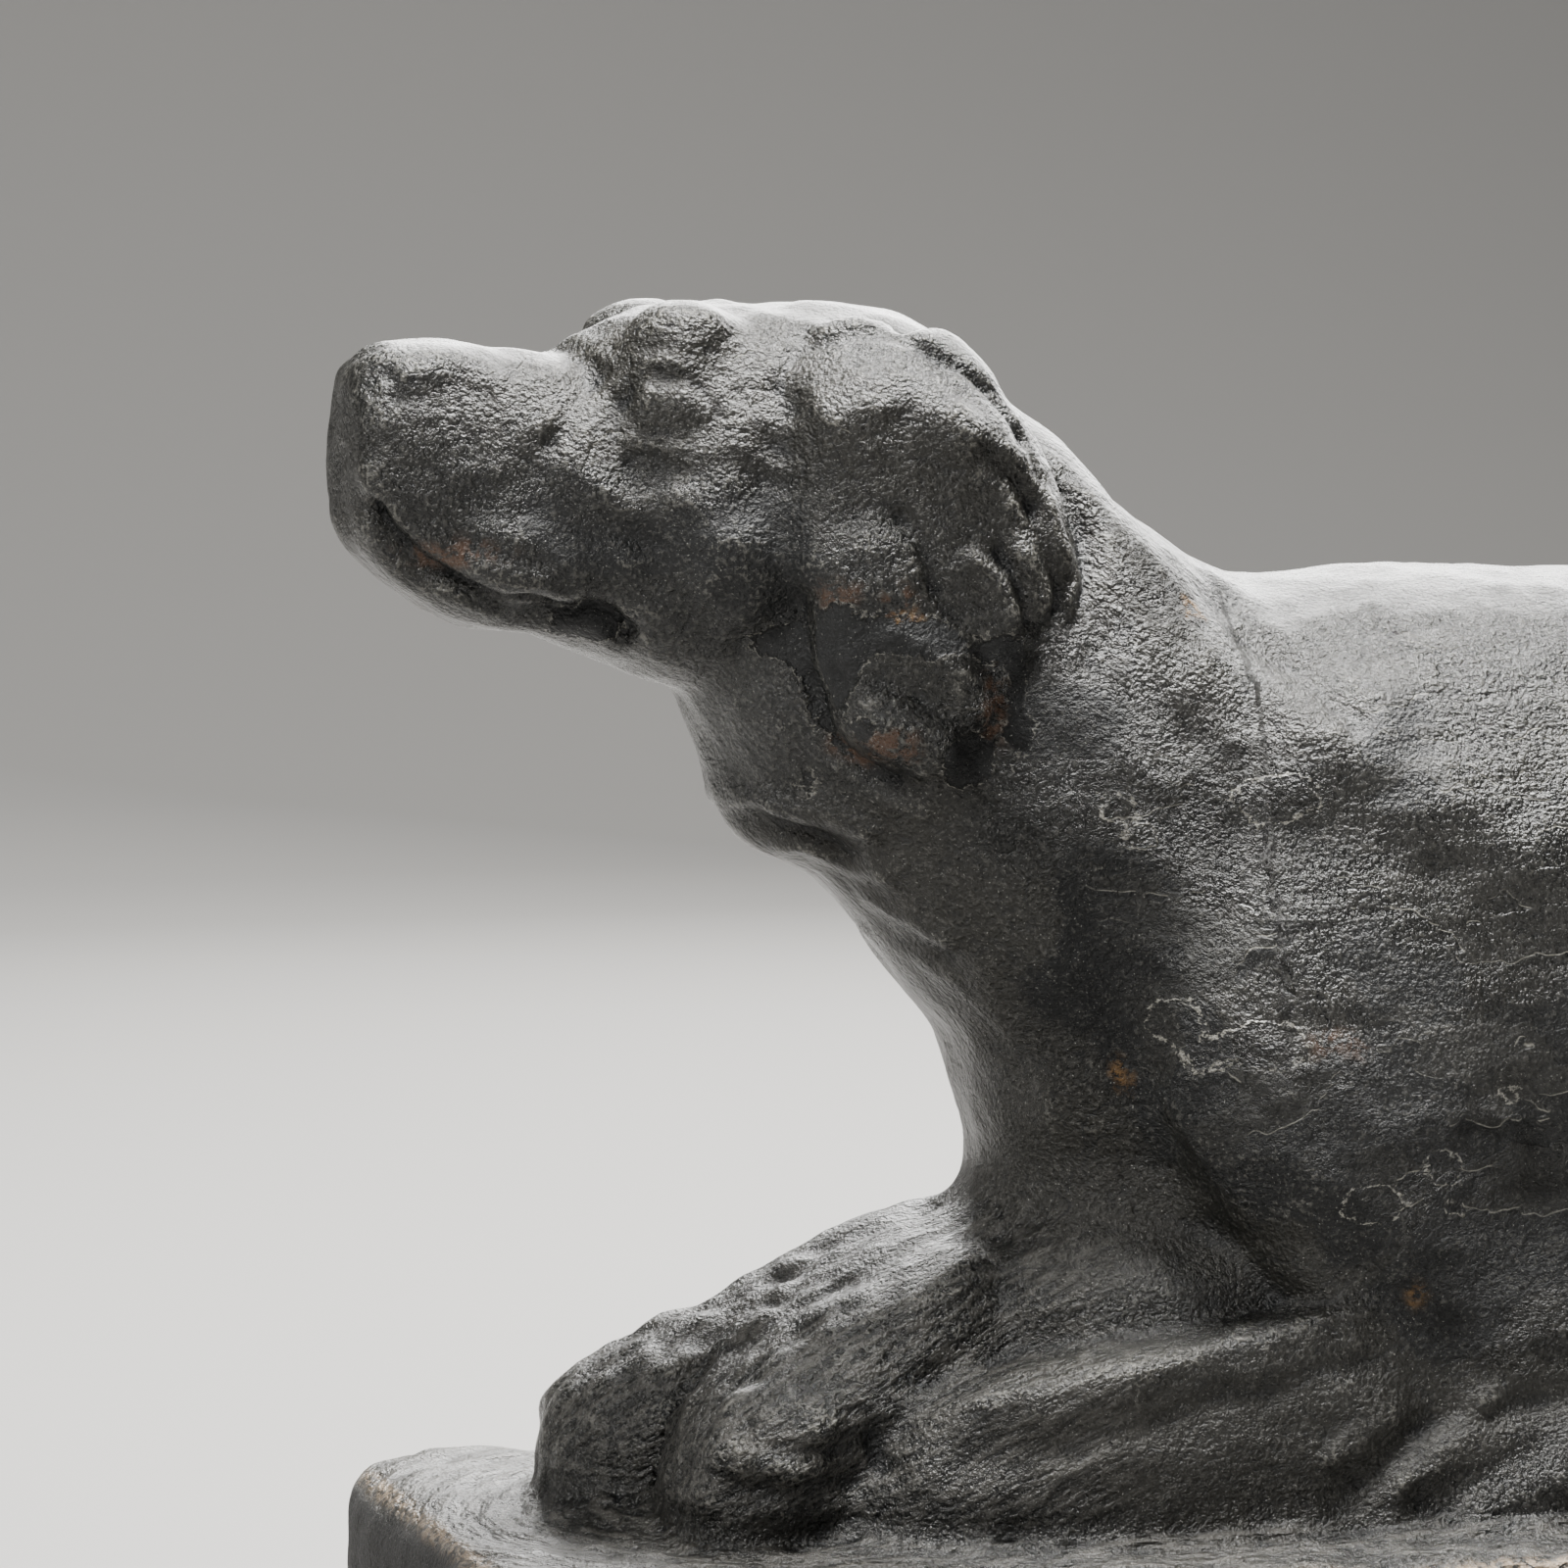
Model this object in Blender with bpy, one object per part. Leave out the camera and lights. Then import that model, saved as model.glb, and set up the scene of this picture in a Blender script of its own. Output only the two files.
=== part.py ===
"""A hound lying on a plinth, cast in one piece: an iron doorstop under old black paint.

The hound is drawn on a figure 174 units tall, measured from the plinth's top to the crown of
the head. Every place, girth and stroke of the figure is given in those units, with X along
the body (the nose towards -X), Y across it and Z up from the plinth's top. The plinth takes
its length and width from the figure's footprint and the margins named here.
"""
import bpy
import bmesh
import numpy as np
from mathutils import Matrix, Vector

# Driving dimensions in metres
FIGURE_HEIGHT = 0.174
PLINTH_HEIGHT = 0.022
PLINTH_FRONT_MARGIN = 0.019
PLINTH_REAR_MARGIN = 0.010
PLINTH_SIDE_MARGIN = 0.011
PLINTH_CORNER_RADIUS = 0.014
PLINTH_EDGE_ROUNDING = 0.0035
MOUND_HEIGHT = 0.007

# The figure's drawing
UNITS_TALL = 174.0
UNIT = FIGURE_HEIGHT / UNITS_TALL
TOES_REACH = -146.0
RUMP_REACH = 155.0
SIDE_REACH = 54.0

# How fine the casting's surface is worked
RINGS_BETWEEN_KNOTS = 5
RING_SIDES = 28
BALL_SIDES = 24
ROUGH_VOXEL = FIGURE_HEIGHT / 90
FINE_VOXEL = FIGURE_HEIGHT / 125
ROUGH_SMOOTHING = 14
FINE_SMOOTHING = 5
TRIANGLES = 9800
SPARE_DEPTH = 0.004
SHARP_ANGLE = 0.9

PLINTH_LEFT = TOES_REACH * UNIT - PLINTH_FRONT_MARGIN
PLINTH_RIGHT = RUMP_REACH * UNIT + PLINTH_REAR_MARGIN
PLINTH_LENGTH = PLINTH_RIGHT - PLINTH_LEFT
PLINTH_WIDTH = 2 * (SIDE_REACH * UNIT + PLINTH_SIDE_MARGIN)
FIGURE_SHIFT = -(PLINTH_LEFT + PLINTH_RIGHT) / 2

# Masses of the figure. Each is a row of rings: centre x, y, z, half width, half depth, and
# how square the ring is (2 is an ellipse). A ring lies across the line through the centres.
BODY = [
    (-68, 0, 80, 12, 18, 2.0),
    (-56, 0, 76, 29, 48, 2.0),
    (-37, 0, 74, 39, 60, 2.1),
    (-8, 0, 71, 43, 63.5, 2.2),
    (30, 0, 69, 43, 63, 2.2),
    (70, 0, 64, 40, 60, 2.2),
    (105, 0, 57, 38, 57, 2.2),
    (135, 0, 47, 33, 50, 2.1),
    (152, 0, 38, 18, 32, 2.0),
]
NECK = [
    (-22, 0, 82, 34, 50, 2.0),
    (-55, 0, 94, 33, 43, 2.1),
    (-83, 0, 117, 30, 36, 2.2),
    (-101, 0, 136, 27, 34.5, 2.3),
    (-115, 0, 148, 22, 26, 2.1),
]
SKULL = [
    (-147, 0, 152, 10, 12, 2.2),
    (-141, 0, 151, 16, 18, 2.3),
    (-131, 0, 150, 21, 22.5, 2.4),
    (-116, 0, 149, 24, 24.5, 2.4),
    (-101, 0, 148, 24.5, 24.8, 2.3),
    (-91, 0, 145.5, 23, 24, 2.2),
    (-83, 0, 140, 19, 21, 2.2),
    (-75, 0, 134, 12, 15, 2.0),
]
MUZZLE = [
    (-177, 0, 152, 10, 10.5, 3.0),
    (-175, 0, 152, 12.5, 13.5, 3.2),
    (-169.5, 0, 151, 14, 17.3, 3.2),
    (-160, 0, 148, 15, 20.3, 3.0),
    (-149, 0, 146.5, 16.5, 20.8, 2.8),
    (-138, 0, 144, 19, 21.8, 2.6),
    (-124, 0, 140, 21, 23, 2.4),
]
EAR = [
    (-104, -19.5, 168, 3.5, 6, 2.2),
    (-104, -21, 165, 5, 10.5, 2.4),
    (-102, -23, 158, 5.5, 15.5, 2.5),
    (-100.5, -24.5, 151, 6, 18.5, 2.5),
    (-97.5, -26, 141, 6, 20.5, 2.5),
    (-97, -27, 134, 6, 19.5, 2.4),
    (-98.3, -27.5, 126, 6, 16.5, 2.4),
    (-98.5, -27, 116, 6, 12.5, 2.2),
    (-96, -26, 109, 5, 5.5, 2.0),
]
FLANK = [
    (-62, 0, 18, 26, 16, 2.4),
    (-40, 0, 18, 40, 22, 2.8),
    (-8, 0, 18, 45, 26, 3.0),
    (50, 0, 18, 46, 28, 3.0),
    (110, 0, 18, 44, 28, 3.0),
    (140, 0, 16, 36, 24, 2.6),
    (153, 0, 12, 20, 16, 2.2),
]
UPPER_ARM = [
    (-40, -20, 110, 11, 18, 2.0),
    (-40, -28, 90, 14, 24, 2.0),
    (-42, -34, 62, 13, 24, 2.1),
    (-42, -36, 36, 10, 15, 2.2),
    (-40, -36, 22, 8, 10, 2.2),
]
FOREARM = [
    (-27, -35, 12, 8, 14, 2.4),
    (-38, -36, 14, 11.5, 20, 3.6),
    (-52, -36, 13, 12, 18.6, 5.0),
    (-66, -36, 12, 12, 17.2, 5.0),
    (-84, -35, 10, 11.5, 16.6, 5.0),
    (-101, -33, 8, 10.5, 14.4, 3.6),
    (-111, -30, 6, 8, 9, 2.4),
]
NEAR_PAW = [
    (-62, -13, 18, 12, 19, 2.0),
    (-78, -14, 18, 13, 20, 2.1),
    (-90, -17, 18, 13, 21.5, 2.2),
    (-99, -18, 16.5, 14, 21, 2.3),
    (-110, -19, 14, 15, 18.5, 2.3),
    (-121, -20, 10, 15.5, 15.5, 2.4),
    (-129, -20, 7, 13, 11, 2.4),
    (-133, -20, 5, 8, 6.5, 2.2),
]
FAR_PAW = [
    (-62, 11, 22, 12, 21.5, 2.0),
    (-78, 12, 22, 13, 22, 2.1),
    (-93, 13, 19.5, 14, 21, 2.2),
    (-105, 13.5, 16, 14.5, 18.8, 2.3),
    (-117, 14, 12, 15, 16.8, 2.4),
    (-129, 15, 9.5, 15, 14.6, 2.4),
    (-137, 15, 7.5, 13, 12.7, 2.4),
    (-142, 15, 6, 10, 9, 2.3),
    (-145, 15, 5, 7, 5, 2.2),
]
ELBOW_WEB = [
    (-30, -24, 17, 8, 10, 2.0),
    (-40, -25, 18, 11, 13, 2.1),
    (-52, -25, 20, 12, 15, 2.2),
    (-66, -23, 21, 13, 16.5, 2.2),
    (-79, -20, 22, 12, 17, 2.2),
    (-88, -18, 20, 10, 14, 2.0),
]
HAUNCH = [
    (48, -26, 44, 12, 26, 2.0),
    (66, -32, 47, 17, 42, 2.1),
    (92, -34, 48, 18, 48, 2.1),
    (120, -30, 42, 17, 43, 2.1),
    (142, -22, 34, 13, 28, 2.0),
]
HIND_FOOT = [
    (-34, -45, 6, 6, 6, 2.0),
    (-26, -46, 7, 8, 9, 2.2),
    (-8, -45, 8, 8.5, 10.5, 2.3),
    (25, -44, 8, 8.5, 10, 2.4),
    (62, -43, 10, 9, 12, 2.4),
    (92, -40, 13, 9, 14, 2.2),
]
TAIL = [
    (140, 8, 40, 10, 10, 2.0),
    (151, 20, 24, 9, 9, 2.0),
    (148, 36, 11, 8, 8, 2.0),
    (126, 47, 8, 7.5, 7.5, 2.0),
    (96, 50, 6, 6.5, 6.5, 2.0),
    (74, 50, 4, 4, 4.5, 2.0),
]

# Rounded lumps: centre x, y, z and radius along x, y, z. Those off the middle are paired.
LUMPS = {
    "brow": (-129, -11.5, 165, 10, 8, 8.8),
    "eyeball": (-131, -18.5, 157, 7, 4, 4.5),
    "cheek": (-121, -17, 142, 15, 8.5, 15),
    "flews": (-150, -11, 139, 14, 7, 9),
    "nose": (-172.5, 0, 161, 5.5, 10, 7),
    "withers": (-47, 0, 122, 18, 14, 12),
    "shoulder": (-36, -25, 94, 27, 16, 28),
    "breast": (-67, 0, 62, 19, 22, 22),
    "throat": (-108, 0, 107, 15.5, 17, 15),
}
# Rows of four toes: the middle's x, y, z, the toes' spacing and radius. A toe is longer than
# wide, and the outer ones set back by their distance from the middle squared.
TOE_SHAPE = (1.5, 0.72, 1.0)
TOE_SET_BACK = 0.025
TOE_ROWS = [
    (-126, -20, 6.5, 7, 6.2),
    (-135, 15, 6.5, 7, 6.2),
]
HIND_TOES = (-29, -46, 5.5, 5.2, 4.6)

# Strokes seen from the side: half width and height of the stroke, then its line as x, z.
# A stroke below zero is cut in, one above is raised. Each is worked on both flanks.
HEAD_STROKES = [
    (1.6, -2.6, [(-174, 145), (-168, 139), (-160, 135), (-151, 132), (-143, 130), (-136, 129)]),
    (2.2, -1.6, [(-176, 163), (-172, 161), (-169, 157), (-171, 153)]),
    (2.0, 1.3, [(-141, 164), (-135, 166.5), (-128, 165), (-122, 160)]),
    (1.4, -1.6, [(-139, 158), (-134, 161.5), (-128, 161), (-124, 157)]),
    (1.4, -1.5, [(-138, 156), (-133, 153), (-127, 154)]),
    (3.5, -1.8, [(-121, 166), (-121, 150), (-120, 134), (-115, 118)]),
    (4.0, -1.6, [(-150, 158), (-143, 152), (-138, 146)]),
]
EAR_STROKES = [
    (3.6, 2.2, [(-114, 166), (-105, 167), (-96, 165), (-88, 158), (-81, 147), (-78, 138)]),
    (3.0, -2.2, [(-116, 150), (-108, 147), (-100, 149), (-92, 145)]),
    (2.8, 1.8, [(-113, 142), (-104, 141), (-98, 136), (-95, 128)]),
    (2.4, -2.2, [(-96, 146), (-91, 139), (-89, 131), (-92, 124)]),
    (2.6, 1.8, [(-89, 148), (-84, 140), (-83, 131), (-86, 124)]),
    (2.4, -2.6, [(-113, 131), (-110, 122), (-104, 116)]),
    (3.0, 2.0, [(-105, 125), (-100, 117), (-94, 111)]),
    (2.2, -1.8, [(-102, 128), (-96, 121), (-90, 117)]),
]
BODY_STROKES = [
    (3.4, -2.2, [(-116, 106), (-108, 101), (-100, 100)]),
    (3.0, 1.6, [(-114, 103), (-105, 98), (-96, 97)]),
    (4.0, -2.0, [(-103, 92), (-93, 88), (-84, 88)]),
    (5.0, -2.4, [(-74, 150), (-68, 140), (-62, 131), (-56, 122)]),
    (7.0, -3.0, [(-60, 122), (-44, 112), (-28, 102), (-14, 92)]),
    (7.0, 2.0, [(-48, 122), (-32, 113), (-16, 102), (-4, 90)]),
    (6.0, -2.2, [(-24, 96), (-18, 78), (-20, 58), (-30, 42)]),
    (4.0, -3.0, [(-80, 46), (-66, 45), (-52, 39), (-38, 32), (-26, 26)]),
    (5.0, -2.6, [(44, 96), (50, 74), (52, 52), (46, 30)]),
    (3.5, -2.4, [(-20, 20), (10, 20), (44, 22), (66, 26)]),
]
RIB_STROKE = (5.0, 1.0)
RIB_COUNT = 4
RIB_SPACING = 13.0
RIB_FIRST_X = 0.0

# Strokes seen from above: half width, height, and the line as x, y.
BETWEEN_PAWS = (2.6, -3.0, [(-141, -2), (-128, -3), (-110, -2), (-92, -1), (-84, 0)])
BETWEEN_PAWS_TOP = 44.0
TOE_GROOVE = (1.5, -2.0)
TOE_GROOVE_REACH = (2.0, 1.8)
TOE_GROOVE_TOP = 3.0


def smooth_line(knots, steps):
    """Points of a Catmull-Rom curve through the knots, which are rows of any length."""
    knots = np.array(knots, float)
    ends = np.vstack([2 * knots[0] - knots[1], knots, 2 * knots[-1] - knots[-2]])
    points = []
    for k in range(len(knots) - 1):
        before, start, stop, after = ends[k:k + 4]
        for step in range(steps):
            t = step / steps
            bend = 2 * before - 5 * start + 4 * stop - after
            twist = 3 * (start - stop) + after - before
            points.append(start + 0.5 * (t * (stop - before) + t * t * bend + t ** 3 * twist))
    points.append(knots[-1])
    return np.array(points)


def to_world(x, y, z):
    """A place of the figure's drawing, in metres."""
    return Vector((x * UNIT + FIGURE_SHIFT, y * UNIT, z * UNIT + PLINTH_HEIGHT))


def add_loft(bm, rings, side=1, upright=False):
    """A closed body through a row of rings; side -1 draws it on the other flank.

    The rings of an upright body all stand square to X. Others lie across their own line.
    """
    line = smooth_line(rings, RINGS_BETWEEN_KNOTS)
    line[:, 3:] = np.maximum(line[:, 3:], 1.0)
    centres = line[:, :3]
    along = np.gradient(centres, axis=0)
    turns = np.linspace(0, 2 * np.pi, RING_SIDES, endpoint=False)
    loops = []
    for centre, heading, (half_width, half_depth, squareness) in zip(centres, along, line[:, 3:]):
        heading = Vector((1, 0, 0)) if upright else Vector(heading).normalized()
        across = Vector((0, 1, 0)) - heading * heading.y
        across.normalize()
        up = heading.cross(across)
        loop = []
        for turn in turns:
            c, s = np.cos(turn), np.sin(turn)
            w = half_width * np.sign(c) * abs(c) ** (2 / squareness)
            d = half_depth * np.sign(s) * abs(s) ** (2 / squareness)
            place = Vector(centre) + across * w + up * d
            loop.append(bm.verts.new(to_world(place.x, side * place.y, place.z)))
        loops.append(loop)
    for one, other in zip(loops, loops[1:]):
        for k in range(RING_SIDES):
            n = (k + 1) % RING_SIDES
            bm.faces.new((one[k], one[n], other[n], other[k]))
    bm.faces.new(loops[0])
    bm.faces.new(loops[-1])


def add_ball(bm, centre, radii):
    """A rounded lump."""
    size = Matrix.Diagonal((radii[0] * UNIT, radii[1] * UNIT, radii[2] * UNIT, 1))
    place = Matrix.Translation(to_world(*centre))
    bmesh.ops.create_uvsphere(
        bm, u_segments=BALL_SIDES, v_segments=BALL_SIDES // 2, radius=1, matrix=place @ size)


def add_pair(bm, rings, upright=False):
    """The same mass on both flanks."""
    for side in (1, -1):
        add_loft(bm, rings, side, upright)


def add_lump(bm, name):
    """A named lump, and its twin on the other flank where it is off the middle."""
    x, y, z, *radii = LUMPS[name]
    add_ball(bm, (x, y, z), radii)
    if y:
        add_ball(bm, (x, -y, z), radii)


def add_toes(bm, row, side=1):
    """Four toes side by side across a paw's front."""
    x, y, z, spacing, radius = row
    for k in range(4):
        off = (k - 1.5) * spacing
        place = (x + TOE_SET_BACK * off * off, side * (y + off), z)
        add_ball(bm, place, [radius * share for share in TOE_SHAPE])


def add_plinth(bm):
    """The plinth's block with rounded corners and top edge, a little too deep below."""
    made = bmesh.ops.create_cube(bm, size=1)
    depth = PLINTH_HEIGHT + SPARE_DEPTH
    bmesh.ops.scale(bm, vec=(PLINTH_LENGTH, PLINTH_WIDTH, depth), verts=made["verts"])
    bmesh.ops.translate(bm, vec=(0, 0, PLINTH_HEIGHT - depth / 2), verts=made["verts"])
    block = set(made["verts"])
    upright = []
    for edge in bm.edges:
        one, other = edge.verts
        if one in block and abs(one.co.z - other.co.z) > depth / 2:
            upright.append(edge)
    bmesh.ops.bevel(
        bm, geom=upright, offset=PLINTH_CORNER_RADIUS, segments=6, profile=0.5, affect="EDGES")
    rim = []
    for edge in bm.edges:
        if all(abs(v.co.z - PLINTH_HEIGHT) < 1e-6 for v in edge.verts):
            rim.append(edge)
    bmesh.ops.bevel(
        bm, geom=rim, offset=PLINTH_EDGE_ROUNDING, segments=3, profile=0.5, affect="EDGES")


def add_mound(bm):
    """The low swelling of the plinth's top that the hound lies in."""
    half_length = (PLINTH_LENGTH / 2 - PLINTH_FRONT_MARGIN) / UNIT
    centre = (-FIGURE_SHIFT / UNIT, 0, 0)
    add_ball(bm, centre, (half_length, SIDE_REACH, MOUND_HEIGHT / UNIT))


def fuse(bm, voxel, smoothing):
    """One skin over everything in the mesh, smoothed like worked wax."""
    bmesh.ops.recalc_face_normals(bm, faces=bm.faces)
    mesh = bpy.data.meshes.new("wax")
    bm.to_mesh(mesh)
    bm.free()
    wax = bpy.data.objects.new("wax", mesh)
    bpy.context.scene.collection.objects.link(wax)
    skin = wax.modifiers.new("skin", "REMESH")
    skin.mode = "VOXEL"
    skin.voxel_size = voxel
    skin.adaptivity = 0
    soften = wax.modifiers.new("soften", "SMOOTH")
    soften.factor = 0.5
    soften.iterations = smoothing
    return settle(wax)


def settle(wax):
    """The mesh of an object with its modifiers applied; the object is cleared away."""
    shape = wax.evaluated_get(bpy.context.evaluated_depsgraph_get())
    mesh = bpy.data.meshes.new_from_object(shape)
    bpy.data.objects.remove(wax, do_unlink=True)
    return mesh


def read_points(mesh):
    """Vertex places in the drawing's units, and normals."""
    places = np.empty(len(mesh.vertices) * 3)
    normals = np.empty(len(mesh.vertices) * 3)
    mesh.vertices.foreach_get("co", places)
    mesh.vertices.foreach_get("normal", normals)
    places = places.reshape(-1, 3)
    places = (places - np.array([FIGURE_SHIFT, 0, PLINTH_HEIGHT])) / UNIT
    return places, normals.reshape(-1, 3)


def write_points(mesh, places):
    """Vertex places back from the drawing's units."""
    world = places * UNIT + np.array([FIGURE_SHIFT, 0, PLINTH_HEIGHT])
    mesh.vertices.foreach_set("co", world.ravel())
    mesh.update()


def nearness(flat, line, half_width):
    """How near each flat point lies to a line: 1 on it, fading to 0 away from it."""
    knots = smooth_line(line, RINGS_BETWEEN_KNOTS)
    low, high = knots.min(axis=0) - 3 * half_width, knots.max(axis=0) + 3 * half_width
    close = np.all((flat > low) & (flat < high), axis=1)
    best = np.full(len(flat), np.inf)
    picked = flat[close]
    gap = np.full(len(picked), np.inf)
    for start, stop in zip(knots, knots[1:]):
        leg = stop - start
        share = np.clip(((picked - start) @ leg) / (leg @ leg), 0, 1)
        away = np.linalg.norm(picked - start - share[:, None] * leg, axis=1)
        gap = np.minimum(gap, away)
    best[close] = gap
    return np.exp(-(best / half_width) ** 2)


def carve_flanks(mesh, strokes, keep):
    """Cut or raise strokes drawn from the side, where keep picks the points to work on."""
    for half_width, height, line in strokes:
        places, normals = read_points(mesh)
        facing = np.clip(np.abs(normals[:, 1]) * 1.6, 0, 1)
        push = height * nearness(places[:, [0, 2]], line, half_width) * facing * keep(places)
        write_points(mesh, places + normals * push[:, None])


def carve_top(mesh, strokes, top):
    """Cut strokes drawn from above into what lies between the plinth and a height."""
    for half_width, height, line in strokes:
        places, normals = read_points(mesh)
        depth = np.clip(places[:, 2] - 1, 0, 1) * np.clip((top - places[:, 2]) / 4, 0, 1)
        push = height * nearness(places[:, :2], line, half_width) * depth
        write_points(mesh, places + normals * push[:, None])


def toe_grooves(row, side=1):
    """The three grooves that part the four toes of a paw."""
    x, y, z, spacing, radius = row
    ahead, behind = TOE_GROOVE_REACH
    strokes = []
    for k in (-1, 0, 1):
        off = side * (y + k * spacing)
        strokes.append((*TOE_GROOVE, [(x - ahead * radius, off), (x + behind * radius, off)]))
    return strokes


def rib_strokes():
    """Faint ribs, slanting back down the flank."""
    half_width, height = RIB_STROKE
    strokes = []
    for k in range(RIB_COUNT):
        x = RIB_FIRST_X + k * RIB_SPACING
        strokes.append((half_width, height, [(x - 4, 104), (x + 4, 82), (x + 3, 60)]))
    return strokes


def model_torso():
    """Body, neck and haunches with the plinth, worked soft so that they flow together."""
    bm = bmesh.new()
    add_plinth(bm)
    add_mound(bm)
    add_loft(bm, BODY, upright=True)
    add_loft(bm, FLANK, upright=True)
    add_loft(bm, NECK)
    add_pair(bm, UPPER_ARM)
    add_pair(bm, HAUNCH)
    for name in ("withers", "shoulder", "breast", "throat"):
        add_lump(bm, name)
    return fuse(bm, ROUGH_VOXEL, ROUGH_SMOOTHING)


def model_figure(torso):
    """The torso with the head, legs, paws and tail added crisply."""
    bm = bmesh.new()
    for body in (SKULL, MUZZLE, NEAR_PAW, FAR_PAW):
        add_loft(bm, body, upright=True)
    for body in (FOREARM, ELBOW_WEB):
        add_pair(bm, body, upright=True)
    add_pair(bm, EAR)
    add_pair(bm, HIND_FOOT)
    add_loft(bm, TAIL)
    for name in ("brow", "eyeball", "cheek", "flews", "nose"):
        add_lump(bm, name)
    for row in TOE_ROWS:
        add_toes(bm, row)
    for side in (1, -1):
        add_toes(bm, HIND_TOES, side)
    bm.from_mesh(torso)
    return fuse(bm, FINE_VOXEL, FINE_SMOOTHING)


def carve(mesh):
    """The face, the ears' locks, the folds and the paws."""
    carve_flanks(mesh, HEAD_STROKES, lambda p: p[:, 2] > 100)
    carve_flanks(mesh, EAR_STROKES, lambda p: np.abs(p[:, 1]) > 20)
    carve_flanks(mesh, BODY_STROKES, lambda p: p[:, 2] > 2)
    carve_flanks(mesh, rib_strokes(), lambda p: p[:, 2] > 2)
    carve_top(mesh, [BETWEEN_PAWS], BETWEEN_PAWS_TOP)
    for row in TOE_ROWS:
        carve_top(mesh, toe_grooves(row), row[2] + TOE_GROOVE_TOP * row[4])
    for side in (1, -1):
        carve_top(mesh, toe_grooves(HIND_TOES, side), 2 * HIND_TOES[2])


def lighten(mesh):
    """The same surface in few enough triangles for a solid."""
    heavy = bpy.data.objects.new("heavy", mesh)
    bpy.context.scene.collection.objects.link(heavy)
    mesh.calc_loop_triangles()
    thin = heavy.modifiers.new("thin", "DECIMATE")
    thin.ratio = TRIANGLES / len(mesh.loop_triangles)
    thin.use_collapse_triangulate = True
    return settle(heavy)


def cut_flat(mesh):
    """Cut the plinth's underside dead flat at height zero."""
    bm = bmesh.new()
    bm.from_mesh(mesh)
    everything = bm.verts[:] + bm.edges[:] + bm.faces[:]
    bmesh.ops.bisect_plane(
        bm, geom=everything, dist=1e-7, plane_co=(0, 0, 0), plane_no=(0, 0, -1), clear_outer=True)
    rim = [edge for edge in bm.edges if edge.is_boundary]
    bmesh.ops.contextual_create(bm, geom=rim)
    bmesh.ops.triangulate(bm, faces=bm.faces)
    bmesh.ops.recalc_face_normals(bm, faces=bm.faces)
    bm.to_mesh(mesh)
    bm.free()


def black_paint():
    """Old black paint over iron, as a plain finish."""
    paint = bpy.data.materials.new("old_black_paint")
    paint.use_nodes = True
    shader = paint.node_tree.nodes["Principled BSDF"]
    shader.inputs["Base Color"].default_value = (0.030, 0.030, 0.029, 1)
    shader.inputs["Metallic"].default_value = 0.35
    shader.inputs["Roughness"].default_value = 0.42
    return paint


def model_doorstop():
    """The finished casting's mesh."""
    mesh = model_figure(model_torso())
    carve(mesh)
    mesh = lighten(mesh)
    cut_flat(mesh)
    mesh.shade_smooth()
    mesh.set_sharp_from_angle(angle=SHARP_ANGLE)
    mesh.name = "dog_doorstop"
    mesh.materials.clear()
    mesh.materials.append(black_paint())
    return mesh


def main():
    """Clear the scene and model the doorstop."""
    for old in list(bpy.data.objects):
        bpy.data.objects.remove(old, do_unlink=True)
    doorstop = bpy.data.objects.new("dog_doorstop", model_doorstop())
    bpy.context.scene.collection.objects.link(doorstop)


main()
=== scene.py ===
import math
import time
import bpy
import bmesh
import numpy as np
from mathutils import Matrix, Vector


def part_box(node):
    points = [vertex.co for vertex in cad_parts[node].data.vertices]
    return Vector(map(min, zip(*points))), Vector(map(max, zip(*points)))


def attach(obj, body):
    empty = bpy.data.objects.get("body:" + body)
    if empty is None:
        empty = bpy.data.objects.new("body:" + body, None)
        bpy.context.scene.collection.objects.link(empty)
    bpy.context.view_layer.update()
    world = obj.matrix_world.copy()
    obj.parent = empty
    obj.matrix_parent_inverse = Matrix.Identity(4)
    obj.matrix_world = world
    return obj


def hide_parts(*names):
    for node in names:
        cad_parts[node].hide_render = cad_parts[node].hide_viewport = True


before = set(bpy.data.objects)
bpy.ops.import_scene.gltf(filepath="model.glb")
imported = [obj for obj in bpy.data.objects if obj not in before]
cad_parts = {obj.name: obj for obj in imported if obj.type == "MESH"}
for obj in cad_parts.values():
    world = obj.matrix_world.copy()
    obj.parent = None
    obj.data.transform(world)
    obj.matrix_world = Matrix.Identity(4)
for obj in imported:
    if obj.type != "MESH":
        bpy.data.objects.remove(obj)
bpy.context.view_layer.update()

startTime = time.time()

# The hound is drawn in units of one millimetre on a 343 mm doorstop: x along the body with the
# nose at -x, y across, z up from the plinth's top. The frame's plinth sets the true size.
casting = {
    "node": "dog_doorstop",
    "slot": "black_painted_iron",
    "drawnWidth": 130.0,  # the plinth's width in the drawing
    "drawnPlinth": (329.4, 129.2, 22.0),
    "cornerRadius": 14.0,
    "edgeRounding": 4.2,
    "moundHeight": 7.0,  # the plinth's top swells up to the hound
    "moundHalf": (146.0, 54.0),
    "spareDepth": 4.0,  # below the underside, cut off flat at the end
    "softVoxel": 1.6,  # the body is worked soft, the head and legs crisper
    "softRounds": 60,
    "crispVoxel": 0.85,
    "crispRounds": 10,
    "triangles": 197000,
    "strokeWander": 0.9,  # no stroke of the hand is quite even
    "ringSides": 32,
    "ringsBetween": 5,
}

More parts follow.
